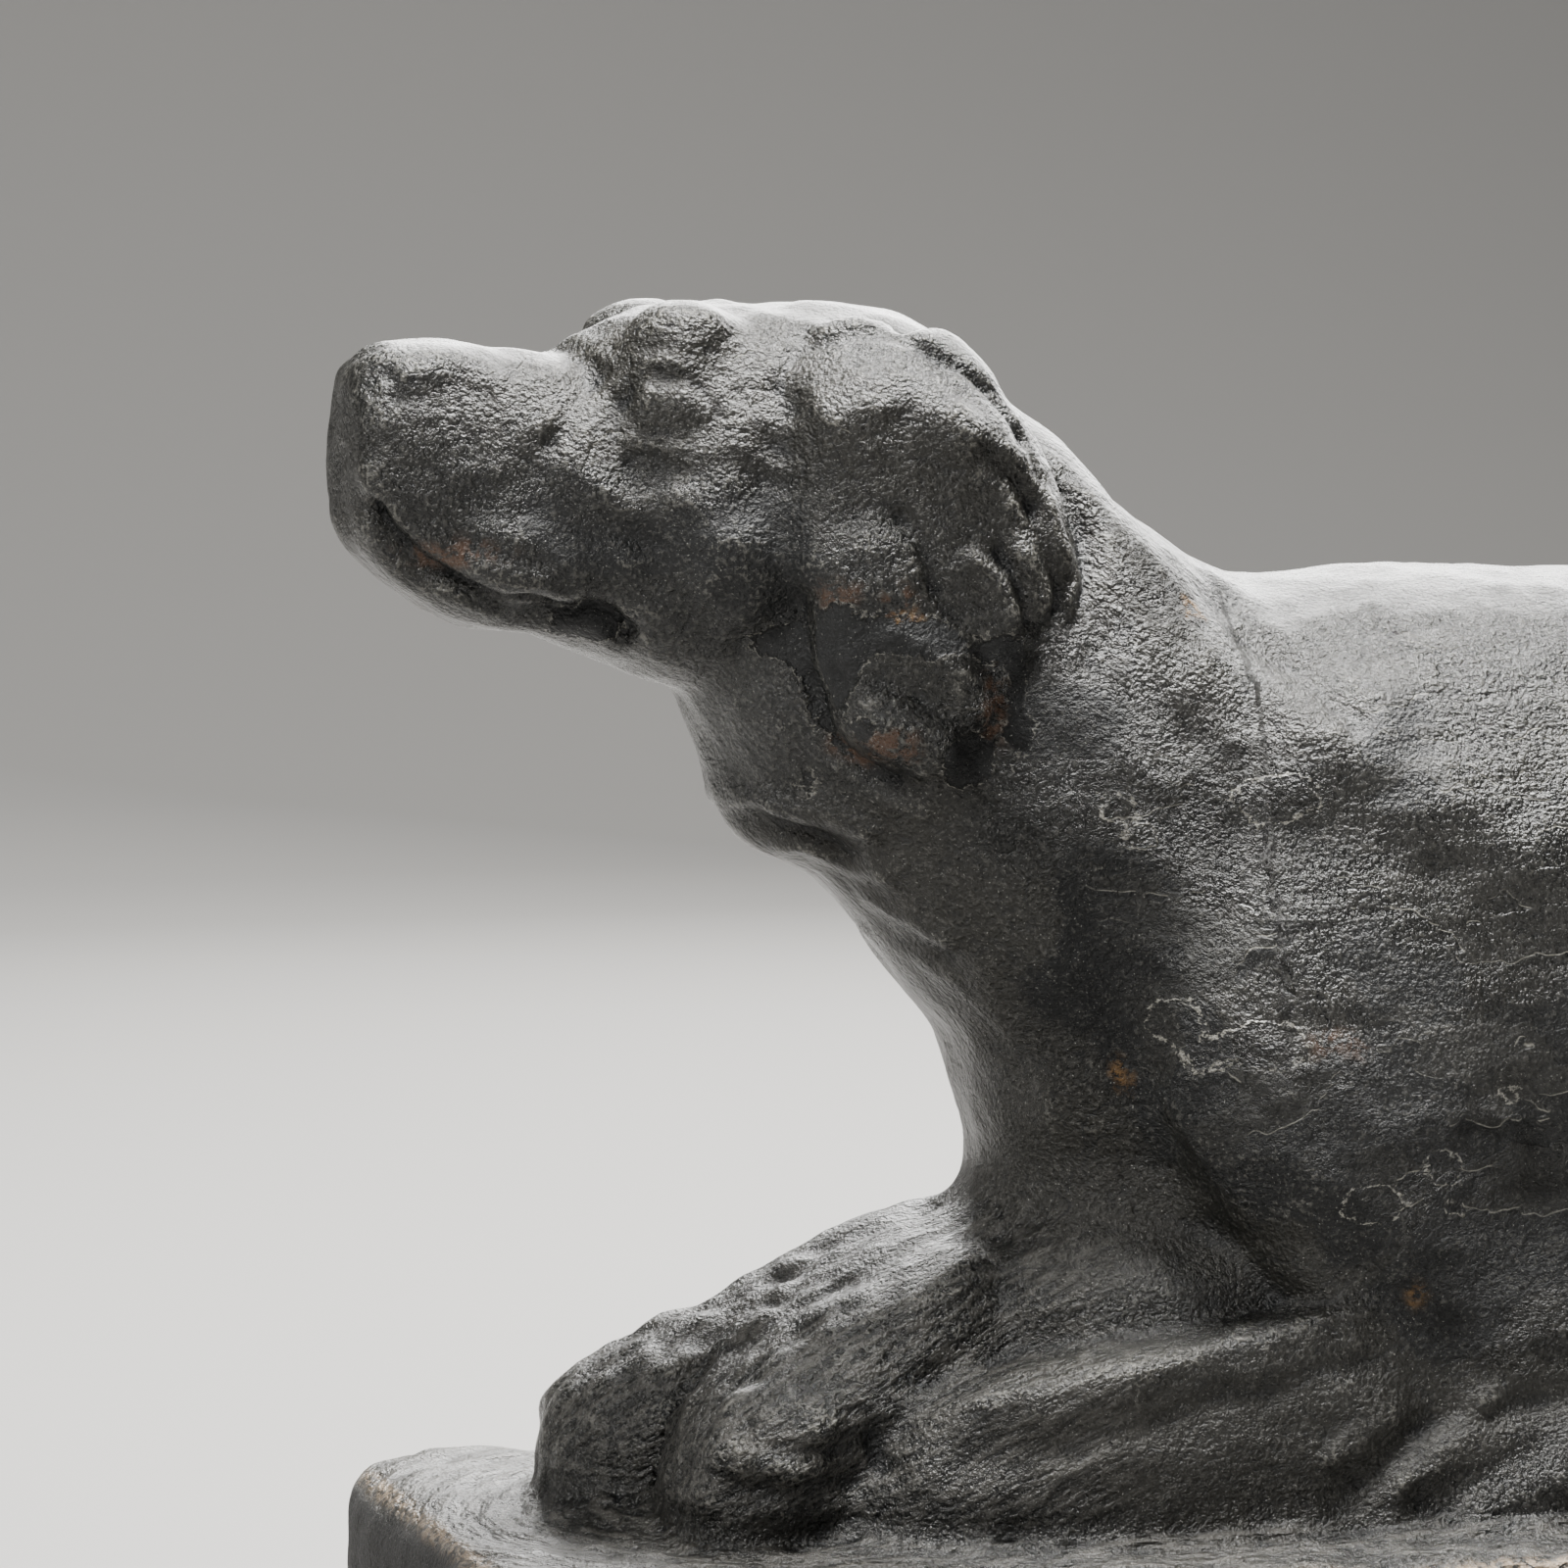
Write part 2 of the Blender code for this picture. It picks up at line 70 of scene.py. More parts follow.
# Masses as rows of rings: centre x, y, z, half width, half depth, squareness (2 is an ellipse)
uprightMasses = {
    "body": [
        (-68, 0, 80, 14, 18, 2.0), (-56, 0, 76, 33, 48, 2.0), (-37, 0, 74, 40, 60, 2.1),
        (-8, 0, 71, 44, 63.5, 2.25), (30, 0, 69, 44, 63, 2.25), (70, 0, 64, 41, 60, 2.2),
        (105, 0, 57, 38, 57, 2.2), (135, 0, 47, 33, 50, 2.1), (152, 0, 38, 18, 32, 2.0)],
    "flank": [
        (-56, 0, 14, 36, 18, 2.6), (-42, 0, 16, 44.5, 26, 3.0), (-24, 0, 19, 46, 33, 3.4),
        (-8, 0, 20, 46.5, 35, 3.5), (50, 0, 20, 46.5, 34, 3.4), (110, 0, 18, 44, 30, 3.0),
        (140, 0, 16, 36, 24, 2.6), (153, 0, 12, 20, 16, 2.2)],
    "skull": [
        (-147, 0, 152, 10, 12, 2.2), (-141, 0, 151, 16, 18, 2.3), (-131, 0, 150, 21, 22.5, 2.4),
        (-116, 0, 149, 24, 24.5, 2.4), (-101, 0, 148, 24.5, 24.8, 2.3),
        (-91, 0, 145.5, 23, 24, 2.2), (-83, 0, 140, 19, 21, 2.2), (-75, 0, 134, 12, 15, 2.0)],
    "muzzle": [
        (-175.8, 0, 152, 10, 10.5, 3.0), (-174.2, 0, 152, 12.5, 13.5, 3.2),
        (-169, 0, 151, 14, 17.3, 3.2), (-160, 0, 148, 15, 19.7, 3.0),
        (-149, 0, 146.5, 16.5, 20.0, 2.8), (-138, 0, 144, 19, 21.8, 2.6),
        (-124, 0, 140, 21, 23, 2.4)],
    "nearPaw": [
        (-62, -13, 18, 12, 19, 2.0), (-78, -14, 18, 13, 20, 2.1), (-90, -17, 18, 13, 21.5, 2.2),
        (-99, -18, 16.5, 14, 21, 2.3), (-110, -18.5, 14, 15.5, 18.5, 2.3),
        (-121, -19, 10, 16.5, 15.5, 2.5), (-129, -19, 7, 15, 11, 2.6),
        (-133, -19, 5, 10, 6.5, 2.4)],
    "farPaw": [
        (-62, 11, 22, 12, 21.5, 2.0), (-78, 12, 22, 13, 22, 2.1), (-93, 13, 19.5, 14, 21, 2.2),
        (-105, 13.5, 16, 14.5, 18.8, 2.3), (-117, 13.5, 12, 15.5, 16.8, 2.4),
        (-128, 13.5, 9.5, 16.5, 14.6, 2.5), (-135.5, 13.5, 7.5, 15, 12.2, 2.6),
        (-140.5, 14, 6, 12, 9, 2.5), (-143.5, 14, 5, 8, 5, 2.2)],
    "pawWeb": [
        (-60, -3, 18, 16, 24, 2.6), (-80, -3, 18, 16, 25, 2.8), (-93, -3, 16, 16, 24.5, 2.8),
        (-105, -3, 14, 16, 21, 2.8), (-117, -3, 11, 13, 16.5, 2.8), (-125, -3, 6, 9, 10, 2.4)],
    "forearm": [
        (-24, -35, 12, 8, 15, 2.4), (-38, -36, 14, 11.5, 19.5, 3.4), (-52, -36, 13, 12, 18.4, 4.4),
        (-66, -36, 12, 12, 16.8, 4.4), (-84, -35, 10, 11.5, 16.0, 4.0),
        (-98, -32.5, 7, 10.5, 14.5, 3.0), (-107, -29, 4, 9, 10.5, 2.4),
        (-114, -26, 2, 6.5, 5, 2.2)],
    "elbowWeb": [
        (-30, -24, 20, 8, 11, 2.0), (-40, -26, 22, 11, 14.5, 2.1),
        (-52, -26, 25.5, 12, 16.5, 2.2), (-66, -24, 25.5, 13, 17.5, 2.2),
        (-79, -20, 24.5, 12, 17.5, 2.2), (-88, -18, 22, 10, 14, 2.0)],
}
leaningMasses = {
    "neck": [
        (-22, 0, 82, 36, 49, 2.1), (-55, 0, 93.5, 35, 41.5, 2.3), (-83, 0, 116.5, 31, 34.5, 2.4),
        (-101, 0, 135.5, 27, 33, 2.4), (-115, 0, 148, 22, 26, 2.1)],
    "ear": [
        (-105, -13.5, 168.5, 5, 6, 2.0), (-105, -16, 165.5, 7, 11, 2.0),
        (-103, -19.5, 160, 8, 15.5, 2.2), (-101, -22, 152, 8.5, 18.5, 2.3),
        (-97.5, -24, 141, 8, 20.5, 2.4), (-97, -25, 133, 7.5, 19.5, 2.4),
        (-98.3, -26, 125, 7, 16.5, 2.4), (-98.5, -26, 116, 6.5, 12.5, 2.2),
        (-96.5, -25.5, 109, 5, 6, 2.0)],
    "upperArm": [
        (-34, -18, 112, 12, 20, 2.0), (-34, -26, 92, 15, 29, 2.1), (-36, -31.5, 68, 15, 31, 2.2),
        (-34, -34, 48, 13, 24, 2.3), (-30, -35, 30, 11, 14, 2.4), (-28, -35, 16, 10, 10, 2.4)],
    "haunch": [
        (48, -26, 44, 12, 26, 2.0), (66, -32, 47, 17, 42, 2.1), (92, -34, 48, 18, 48, 2.1),
        (120, -30, 42, 17, 43, 2.1), (142, -22, 34, 13, 28, 2.0)],
    "hindFoot": [
        (-46, -41, 3, 6, 5, 2.0), (-34, -42, 5, 7.5, 9, 2.2), (-12, -42.5, 7, 8, 12, 2.3),
        (25, -42.5, 8, 8, 13, 2.4), (62, -42, 10, 8.5, 14, 2.4), (92, -39, 13, 9, 15, 2.2)],
    "tail": [
        (140, 8, 40, 10, 10, 2.0), (151, 20, 24, 9, 9, 2.0), (148, 36, 11, 8, 8, 2.0),
        (126, 47, 8, 7.5, 7.5, 2.0), (96, 50, 6, 6.5, 6.5, 2.0), (74, 50, 4, 4, 4.5, 2.0)],
}
pairedMasses = ("forearm", "elbowWeb", "ear", "upperArm", "haunch", "hindFoot")
softMasses = ("body", "flank", "neck", "upperArm", "haunch")
lumps = {  # centre x, y, z and radius along x, y, z; those off the middle are paired
    "brow": (-129, -11.5, 165, 10, 8, 8.8),
    "eyeball": (-132.5, -17.2, 159.5, 6.2, 3.6, 4.2),
    "cheek": (-121, -17, 142, 15, 8.5, 15),
    "flews": (-150, -11, 139, 14, 7, 9),
    "nose": (-171, 0, 161, 4.5, 9, 6.5),
    "withers": (-47, 0, 122, 18, 14, 12),
    "shoulder": (-36, -25, 94, 27, 16, 28),
    "breast": (-66, 0, 64, 20, 29, 24),
    "breastFoot": (-60, -16, 43, 21, 14, 10),
    "pawRoot": (-75, -6, 41, 12, 14, 8),
    "throat": (-108, 0, 107, 15.5, 17, 15),
}
softLumps = ("withers", "shoulder", "breast", "breastFoot", "pawRoot", "throat")
toes = {
    "rows": [(-126, -20, 6.5, 7, 6.2), (-135, 15, 6.5, 7, 6.2)],  # x, y, z, spacing, radius
    "shape": (1.5, 0.72, 1.0),
    "setBack": 0.025,
}

# Strokes of the modelling tool, seen from the side: half width, rise, and the line as x, z
sideStrokes = {
    "mouth": [(1.3, -2.8, [(-174, 145), (-168, 137), (-162, 133.5), (-149, 130), (-142, 130.5),
                           (-138, 127)]),
              (1.7, 0.4, [(-165, 140.5), (-157, 136.5), (-150, 134.5)]),
              (1.5, -0.5, [(-169, 144), (-160, 139.5), (-151, 137.5)]),
              (4.0, 0.5, [(-143.5, 137), (-140, 137.5)])],
    "nostril": [(1.3, -0.9, [(-174, 162), (-172.5, 164), (-170.5, 163.4), (-170, 161)]),
                (2.4, 0.8, [(-168, 164), (-163, 165), (-158, 163)])],
    "brow": [(1.7, -0.5, [(-139, 168.5), (-134, 167.5), (-129, 165.5), (-124.5, 161)]),
             (3.4, 0.5, [(-138, 171), (-132, 172), (-126, 169.5), (-121, 164)])],
    "eye": [(1.7, 0.5, [(-139.5, 162), (-134, 165.5), (-128.5, 163.5)]),
            (1.3, -0.6, [(-139.5, 160), (-135.5, 163.4), (-130.5, 163), (-126.5, 158.5)]),
            (1.3, -0.3, [(-139, 158), (-134, 155.3), (-128, 156.6)]),
            (1.5, 0.4, [(-139, 154.5), (-133, 152.8), (-124, 153.6), (-118, 151)])],
    "face": [(3.0, -1.1, [(-142, 163), (-141.5, 157), (-140, 152)]),
             (1.5, -1.0, [(-142.5, 165), (-147, 158), (-150, 153.5)]),
             (3.8, -1.1, [(-123.5, 166), (-117.5, 158.5), (-119, 151.5), (-121, 146.5),
                          (-118.5, 140.5), (-117.5, 133), (-116, 126)]),
             (3.0, 0.9, [(-147, 150), (-140, 146), (-132, 145)]),
             (2.5, -0.4, [(-138, 141), (-133, 136), (-130, 130)])],
    "fold": [(5.0, 2.4, [(-112.5, 158), (-106, 160), (-98.5, 158), (-92.5, 152)]),
             (1.1, -1.0, [(-118, 162), (-113, 168), (-105, 169.4), (-97, 166.6), (-90, 161),
                          (-85.5, 154.5)]),
             (0.9, -0.6, [(-100, 169), (-92.5, 164), (-86, 156.5), (-82, 148)])],
    "earTop": [(2.4, 1.0, [(-95, 158), (-89, 151), (-86.5, 145)]),
               (1.7, -1.4, [(-91.5, 151.5), (-87.5, 149), (-84.5, 145)]),
               (3.0, 1.0, [(-80.5, 144), (-79, 138)]),
               (1.0, 0.7, [(-80, 150), (-76.5, 143), (-75.6, 136), (-78, 131.5)]),
               (1.5, -1.0, [(-84, 160), (-78, 152), (-74, 144), (-73.5, 136), (-77, 129)])],
    "earLocks": [(5.0, 1.5, [(-114, 138.5), (-107.5, 137)]),
                 (1.3, -0.9, [(-104, 143.5), (-101, 139.5), (-98.5, 134.5)]),
                 (1.7, 1.2, [(-93, 138), (-90, 135), (-87.5, 129)]),
                 (2.8, 1.4, [(-85.5, 138.5), (-84, 133)]),
                 (1.4, -1.0, [(-89, 139), (-87, 135), (-85.5, 130)]),
                 (1.4, -1.1, [(-83.5, 145), (-82, 139.5), (-80, 131)]),
                 (1.8, -0.9, [(-97, 131), (-93, 127), (-90, 121)]),
                 (4.0, 1.2, [(-107, 115.5), (-101.5, 112.5), (-97, 108.5)]),
                 (1.6, -1.4, [(-113.5, 121), (-111.5, 114), (-108, 109.5), (-103, 106.5)]),
                 (1.7, -0.7, [(-108, 121), (-101, 118.5), (-94, 112.5)]),
                 (1.5, 0.9, [(-110, 108.5), (-104, 104.5), (-98.5, 103)]),
                 (2.6, 0.9, [(-104, 128), (-98, 124), (-93, 117)])],
    "throat": [(2.0, 1.4, [(-119, 103), (-112, 102), (-105, 99)]),
               (1.6, -1.4, [(-120, 100), (-112, 98.8), (-106, 96)]),
               (1.8, 1.0, [(-113, 96), (-106, 94.5), (-101, 93)]),
               (1.6, 1.1, [(-107, 89.5), (-99, 86.5), (-93, 84)]),
               (1.5, -1.1, [(-106, 87), (-99, 83.8), (-93, 81)])],
    "neck": [(3.0, -1.7, [(-81, 157), (-77, 147), (-73.5, 135), (-74, 124)]),
             (4.0, 1.2, [(-74, 152), (-68, 143), (-63, 136)]),
             (2.6, -1.3, [(-55, 137), (-51.5, 130), (-46, 123), (-38, 115)]),
             (5.0, -1.2, [(-46, 99), (-37, 105), (-31, 110)]),
             (6.0, 1.6, [(-58, 120), (-44, 113), (-26, 103), (-14, 96)])],
    "chest": [(3.4, -0.9, [(-84, 45), (-74, 46), (-62, 43.5), (-49, 40.5), (-37, 35.5),
                           (-27, 28)]),
              (5.0, 1.0, [(-76, 60), (-62, 56), (-48, 50)])],
    "forearm": [(1.5, 1.0, [(-101, 19.5), (-84, 23.5), (-66, 27), (-52, 30), (-39, 33)]),
                (3.0, -1.2, [(-98, 14), (-82, 17), (-64, 20.5), (-50, 23), (-38, 26)]),
                (3.0, -0.5, [(-88, 34), (-93, 28), (-99, 22), (-107, 14)])],
    "toes": [(3.0, 1.3, [(-119.5, 18.5), (-116.5, 17.5)]), (1.7, 1.0, [(-122.5, 12.2), (-117, 12)]),
             (2.0, 1.2, [(-127.5, 19.5), (-126, 20)]), (1.8, 1.0, [(-128.5, 13.8), (-127, 14)]),
             (2.4, 1.1, [(-106, 18.5), (-103, 19)]), (3.2, 1.0, [(-99, 33.5), (-93, 36)]),
             (2.4, 0.9, [(-139, 20), (-135, 22.5)]), (2.0, 0.8, [(-143, 13), (-141, 14)]),
             (1.0, -0.6, [(-125, 15.2), (-119, 14.8), (-113, 14.2)]),
             (1.6, -0.3, [(-129, 9), (-121, 8.6), (-113, 9.6)]),
             (1.6, -0.7, [(-112, 21), (-108.5, 17.5), (-108, 12)])],
    "flank": [(8.0, -2.2, [(42, 100), (49, 76), (51, 54), (46, 34)]),
              (3.0, -1.6, [(10, 27), (30, 26), (48, 27), (66, 30)])],
    "hindToes": [(2.0, 0.9, [(-45, 11.5), (-41, 14), (-36.5, 17.5)]),
                 (2.4, -0.7, [(-42, 8), (-35, 11), (-29, 15)]),
                 (2.6, 1.4, [(-35, 9), (-28, 14), (-21.5, 18.5)]),
                 (2.6, -0.8, [(-32, 6), (-22, 9), (-14, 14)]),
                 (3.0, 1.0, [(-24, 4), (-10, 7.5), (2, 12)])],
}
ribs = {"count": 4, "firstX": 0.0, "spacing": 13.0, "halfWidth": 5.0, "rise": 0.6}

# Strokes seen from above: half width, rise, lowest and highest z worked on, the line as x, y
topStrokes = [
    (5.0, 1.4, 2, 30, [(-131, -3), (-122, -3.5), (-114, -3)]),
    (1.4, -0.5, 2, 24, [(-136, -15), (-126, -15.5), (-118, -16)]),
    (1.4, -0.5, 2, 24, [(-136, -22), (-126, -22), (-118, -22)]),
    (1.4, -0.5, 2, 26, [(-147, 11), (-137, 11), (-128, 11)]),
    (1.4, -0.5, 2, 26, [(-147, 18.5), (-137, 18), (-128, 17.5)]),
]


def smoothLine(knots, steps):
    knots = np.array(knots, float)
    ends = np.vstack([2 * knots[0] - knots[1], knots, 2 * knots[-1] - knots[-2]])
    points = []
    for first in range(len(knots) - 1):
        before, start, stop, after = ends[first:first + 4]
        for k in range(steps):
            t = k / steps
            bend = 2 * before - 5 * start + 4 * stop - after
            twist = 3 * (start - stop) + after - before
            points.append(start + 0.5 * (t * (stop - before) + t * t * bend + t ** 3 * twist))
    points.append(knots[-1])
    return np.array(points)


lowCorner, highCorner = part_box(casting["node"])
unit = (highCorner[1] - lowCorner[1]) / casting["drawnWidth"]
plinthTop = casting["drawnPlinth"][2]


def toWorld(x, y, z):
    return Vector((x * unit, y * unit, (z + plinthTop) * unit))


def addLoft(bm, rings, side=1, upright=False):
    line = smoothLine(rings, casting["ringsBetween"])
    line[:, 3:] = np.maximum(line[:, 3:], 1.0)
    centres = line[:, :3]
    along = np.gradient(centres, axis=0)
    turns = np.linspace(0, 2 * np.pi, casting["ringSides"], endpoint=False)
    loops = []
    for centre, heading, (halfWidth, halfDepth, squareness) in zip(centres, along, line[:, 3:]):
        heading = Vector((1, 0, 0)) if upright else Vector(heading).normalized()
        across = Vector((0, 1, 0)) - heading * heading.y
        across.normalize()
        up = heading.cross(across)
        loop = []
        for turn in turns:
            c, s = np.cos(turn), np.sin(turn)
            w = halfWidth * np.sign(c) * abs(c) ** (2 / squareness)
            d = halfDepth * np.sign(s) * abs(s) ** (2 / squareness)
            place = Vector(centre) + across * w + up * d
            loop.append(bm.verts.new(toWorld(place.x, side * place.y, place.z)))
        loops.append(loop)
    for one, other in zip(loops, loops[1:]):
        for k in range(len(one)):
            n = (k + 1) % len(one)
            bm.faces.new((one[k], one[n], other[n], other[k]))
    bm.faces.new(loops[0])
    bm.faces.new(loops[-1])


def addBall(bm, centre, radii):
    size = Matrix.Diagonal((radii[0] * unit, radii[1] * unit, radii[2] * unit, 1))
    place = Matrix.Translation(toWorld(*centre))
    bmesh.ops.create_uvsphere(bm, u_segments=28, v_segments=14, radius=1, matrix=place @ size)


def addMasses(bm, names):
    for name in names:
        sides = (1, -1) if name in pairedMasses else (1,)
        for side in sides:
            if name in uprightMasses:
                addLoft(bm, uprightMasses[name], side, upright=True)
            else:
                addLoft(bm, leaningMasses[name], side)


def addLumps(bm, names):
    for name in names:
        x, y, z, *radii = lumps[name]
        for side in (1, -1) if y else (1,):
            addBall(bm, (x, side * y, z), radii)


def addToes(bm, row):
    x, y, z, spacing, radius = row
    for k in range(4):
        off = (k - 1.5) * spacing
        place = (x + toes["setBack"] * off * off, y + off, z)
        addBall(bm, place, [radius * share for share in toes["shape"]])


def addPlinth(bm):
    length, width, height = [size * unit for size in casting["drawnPlinth"]]
    depth = height + casting["spareDepth"] * unit
    made = bmesh.ops.create_cube(bm, size=1)
    bmesh.ops.scale(bm, vec=(length, width, depth), verts=made["verts"])
    bmesh.ops.translate(bm, vec=(0, 0, height - depth / 2), verts=made["verts"])
    upright = [e for e in bm.edges if abs(e.verts[0].co.z - e.verts[1].co.z) > depth / 2]
    bmesh.ops.bevel(bm, geom=upright, offset=casting["cornerRadius"] * unit, segments=8,
                    profile=0.5, affect="EDGES")
    rim = [e for e in bm.edges if all(abs(v.co.z - height) < 1e-6 for v in e.verts)]
    bmesh.ops.bevel(bm, geom=rim, offset=casting["edgeRounding"] * unit, segments=4,
                    profile=0.5, affect="EDGES")
    halfLength, halfWidth = casting["moundHalf"]
    addBall(bm, (0, 0, 0), (halfLength, halfWidth, casting["moundHeight"]))


def settle(thing):
    shape = thing.evaluated_get(bpy.context.evaluated_depsgraph_get())
    mesh = bpy.data.meshes.new_from_object(shape)
    bpy.data.objects.remove(thing, do_unlink=True)
    return mesh


def fuse(bm, voxel, rounds):
    bmesh.ops.recalc_face_normals(bm, faces=bm.faces)
    mesh = bpy.data.meshes.new("wax")
    bm.to_mesh(mesh)
    bm.free()
    wax = bpy.data.objects.new("wax", mesh)
    bpy.context.scene.collection.objects.link(wax)
    skin = wax.modifiers.new("skin", "REMESH")
    skin.mode = "VOXEL"
    skin.voxel_size = voxel * unit
    skin.adaptivity = 0
    soften = wax.modifiers.new("soften", "SMOOTH")
    soften.factor = 0.5
    soften.iterations = rounds
    return settle(wax)


def modelWax():
    bm = bmesh.new()
    addPlinth(bm)
    addMasses(bm, softMasses)
    addLumps(bm, softLumps)
    torso = fuse(bm, casting["softVoxel"], casting["softRounds"])
    bm = bmesh.new()
    crisp = [name for name in (*uprightMasses, *leaningMasses) if name not in softMasses]
    addMasses(bm, crisp)
    addLumps(bm, [name for name in lumps if name not in softLumps])
    for row in toes["rows"]:
        addToes(bm, row)
    bm.from_mesh(torso)
    mesh = fuse(bm, casting["crispVoxel"], casting["crispRounds"])
    print("wax figure:", len(mesh.vertices), "points", round(time.time() - startTime, 1), "s")
    return mesh


def readPoints(mesh):
    places = np.empty(len(mesh.vertices) * 3)
    normals = np.empty(len(mesh.vertices) * 3)
    mesh.vertices.foreach_get("co", places)
    mesh.vertices.foreach_get("normal", normals)
    places = places.reshape(-1, 3) / unit - np.array([0, 0, plinthTop])
    return places, normals.reshape(-1, 3)


def writePoints(mesh, places):
    world = (places + np.array([0, 0, plinthTop])) * unit
    mesh.vertices.foreach_set("co", world.ravel())
    mesh.update()


def distanceTo(flat, line, reach, steps=4):
    # distance of flat points to a smooth line, infinite beyond the reach
    knots = smoothLine(line, steps)
    low, high = knots.min(axis=0) - reach, knots.max(axis=0) + reach
    close = np.flatnonzero(np.all((flat > low) & (flat < high), axis=1))
    picked = flat[close]
    gap = np.full(len(picked), np.inf)
    for start, stop in zip(knots, knots[1:]):
        leg = stop - start
        share = np.clip(((picked - start) @ leg) / (leg @ leg), 0, 1)
        gap = np.minimum(gap, np.linalg.norm(picked - start - share[:, None] * leg, axis=1))
    distance = np.full(len(flat), np.inf)
    distance[close] = gap
    return distance


def strokePush(flat, halfWidth, rise, line):
    return rise * np.exp(-(distanceTo(flat, line, 3 * halfWidth) / halfWidth) ** 2)


def latticeNoise(points, cell, seed):
    # smooth noise between -1 and 1; the lattice is turned so that no rows of it show
    turn = np.array([[0.36, 0.48, -0.80], [-0.80, 0.60, 0.0], [0.48, 0.64, 0.60]])
    grid = (points / np.array(cell, float)) @ turn + seed * 7.7
    base = np.floor(grid)
    t = grid - base
    t = t * t * (3 - 2 * t)
    level = np.zeros(len(points))
    for corner in range(8):
        offset = np.array([corner & 1, corner >> 1 & 1, corner >> 2 & 1])
        at = base + offset
        wave = np.sin(at @ np.array([12.9898, 78.233, 37.719]) + seed * 4.1414) * 43758.5453
        weight = np.prod(np.where(offset, t, 1 - t), axis=1)
        level += weight * (wave - np.floor(wave))
    return 2 * level - 1


def carve(mesh):
    places, normals = readPoints(mesh)
    wander = [latticeNoise(places, (6, 6, 6), 50 + k) for k in range(2)]
    flat = places[:, [0, 2]] + casting["strokeWander"] * np.stack(wander, axis=1)
    facing = np.clip(np.abs(normals[:, 1]) * 1.6, 0, 1)
    push = np.zeros(len(places))
    above = places[:, 2] > 1
    for name, strokes in sideStrokes.items():
        keep = above & (np.abs(places[:, 1]) > 19) if name.startswith("ear") else above
        turned = np.abs(places[:, 1]) > 8 if name == "fold" else facing
        for halfWidth, rise, line in strokes:
            push += strokePush(flat, halfWidth, rise, line) * turned * keep
    for k in range(ribs["count"]):
        x = ribs["firstX"] + k * ribs["spacing"]
        line = [(x - 4, 104), (x + 4, 82), (x + 3, 60)]
        push += strokePush(flat, ribs["halfWidth"], ribs["rise"], line) * facing * above
    for halfWidth, rise, low, high, line in topStrokes:
        depth = np.clip(places[:, 2] - low, 0, 1) * np.clip((high - places[:, 2]) / 4, 0, 1)
        push += strokePush(places[:, :2], halfWidth, rise, line) * depth
    writePoints(mesh, places + normals * push[:, None])
    print("carved", round(time.time() - startTime, 1), "s")


relief = {  # the rough skin: cell size along, across and up, height, and turn in degrees
    "castLumps": ((15.0, 15.0, 15.0), 0.34, 0),
    "handMarks": ((6.5, 6.5, 6.5), 0.30, 0),
    "paintRuns": ((3.2, 3.2, 3.2), 0.18, 0),
    "plinthStreaks": ((11.0, 2.4, 4.0), 0.55, 0),
    "finePlinthStreaks": ((5.0, 1.5, 2.0), 0.36, 0),
    "flankStreaks": ((10.0, 5.0, 2.2), 0.20, 3),
    "neckStreaks": ((10.0, 4.0, 2.6), 0.24, -40),
    "legStreaks": ((6.0, 2.4, 2.2), 0.36, 27),
    "faceLumps": ((4.2, 4.2, 3.4), 0.42, 0),
    "toeLumps": ((4.4, 4.4, 4.4), 0.75, 0),
}
blending = {  # rounds of smoothing where the masses meet
    "filletRounds": 46,
    "filletTop": 9.0,  # the foot of the hound flows into the plinth below this height
    "faceRounds": 26,
}


def step(low, high, values):
    t = np.clip((values - low) / (high - low), 0, 1)
    return t * t * (3 - 2 * t)


def readEdges(mesh):
    pairs = np.empty(len(mesh.edges) * 2, np.int32)
    mesh.edges.foreach_get("vertices", pairs)
    pairs = pairs.reshape(-1, 2)
    return pairs, np.maximum(np.bincount(pairs.ravel(), minlength=len(mesh.vertices)), 1)


def neighbourMean(values, pairs, counts):
    columns = []
    for column in values.T:
        total = np.bincount(pairs[:, 0], column[pairs[:, 1]], len(counts))
        total += np.bincount(pairs[:, 1], column[pairs[:, 0]], len(counts))
        columns.append(total / counts)
    return np.array(columns).T


def blend(mesh, weight, rounds):
    places, normals = readPoints(mesh)
    pairs, counts = readEdges(mesh)
    for _ in range(rounds):
        places += 0.5 * weight[:, None] * (neighbourMean(places, pairs, counts) - places)
    writePoints(mesh, places)


def rimDistance(places):
    # how far a point lies inside the plinth's outline, seen from above
    length, width = casting["drawnPlinth"][:2]
    return np.minimum(width / 2 - np.abs(places[:, 1]), length / 2 - np.abs(places[:, 0]))


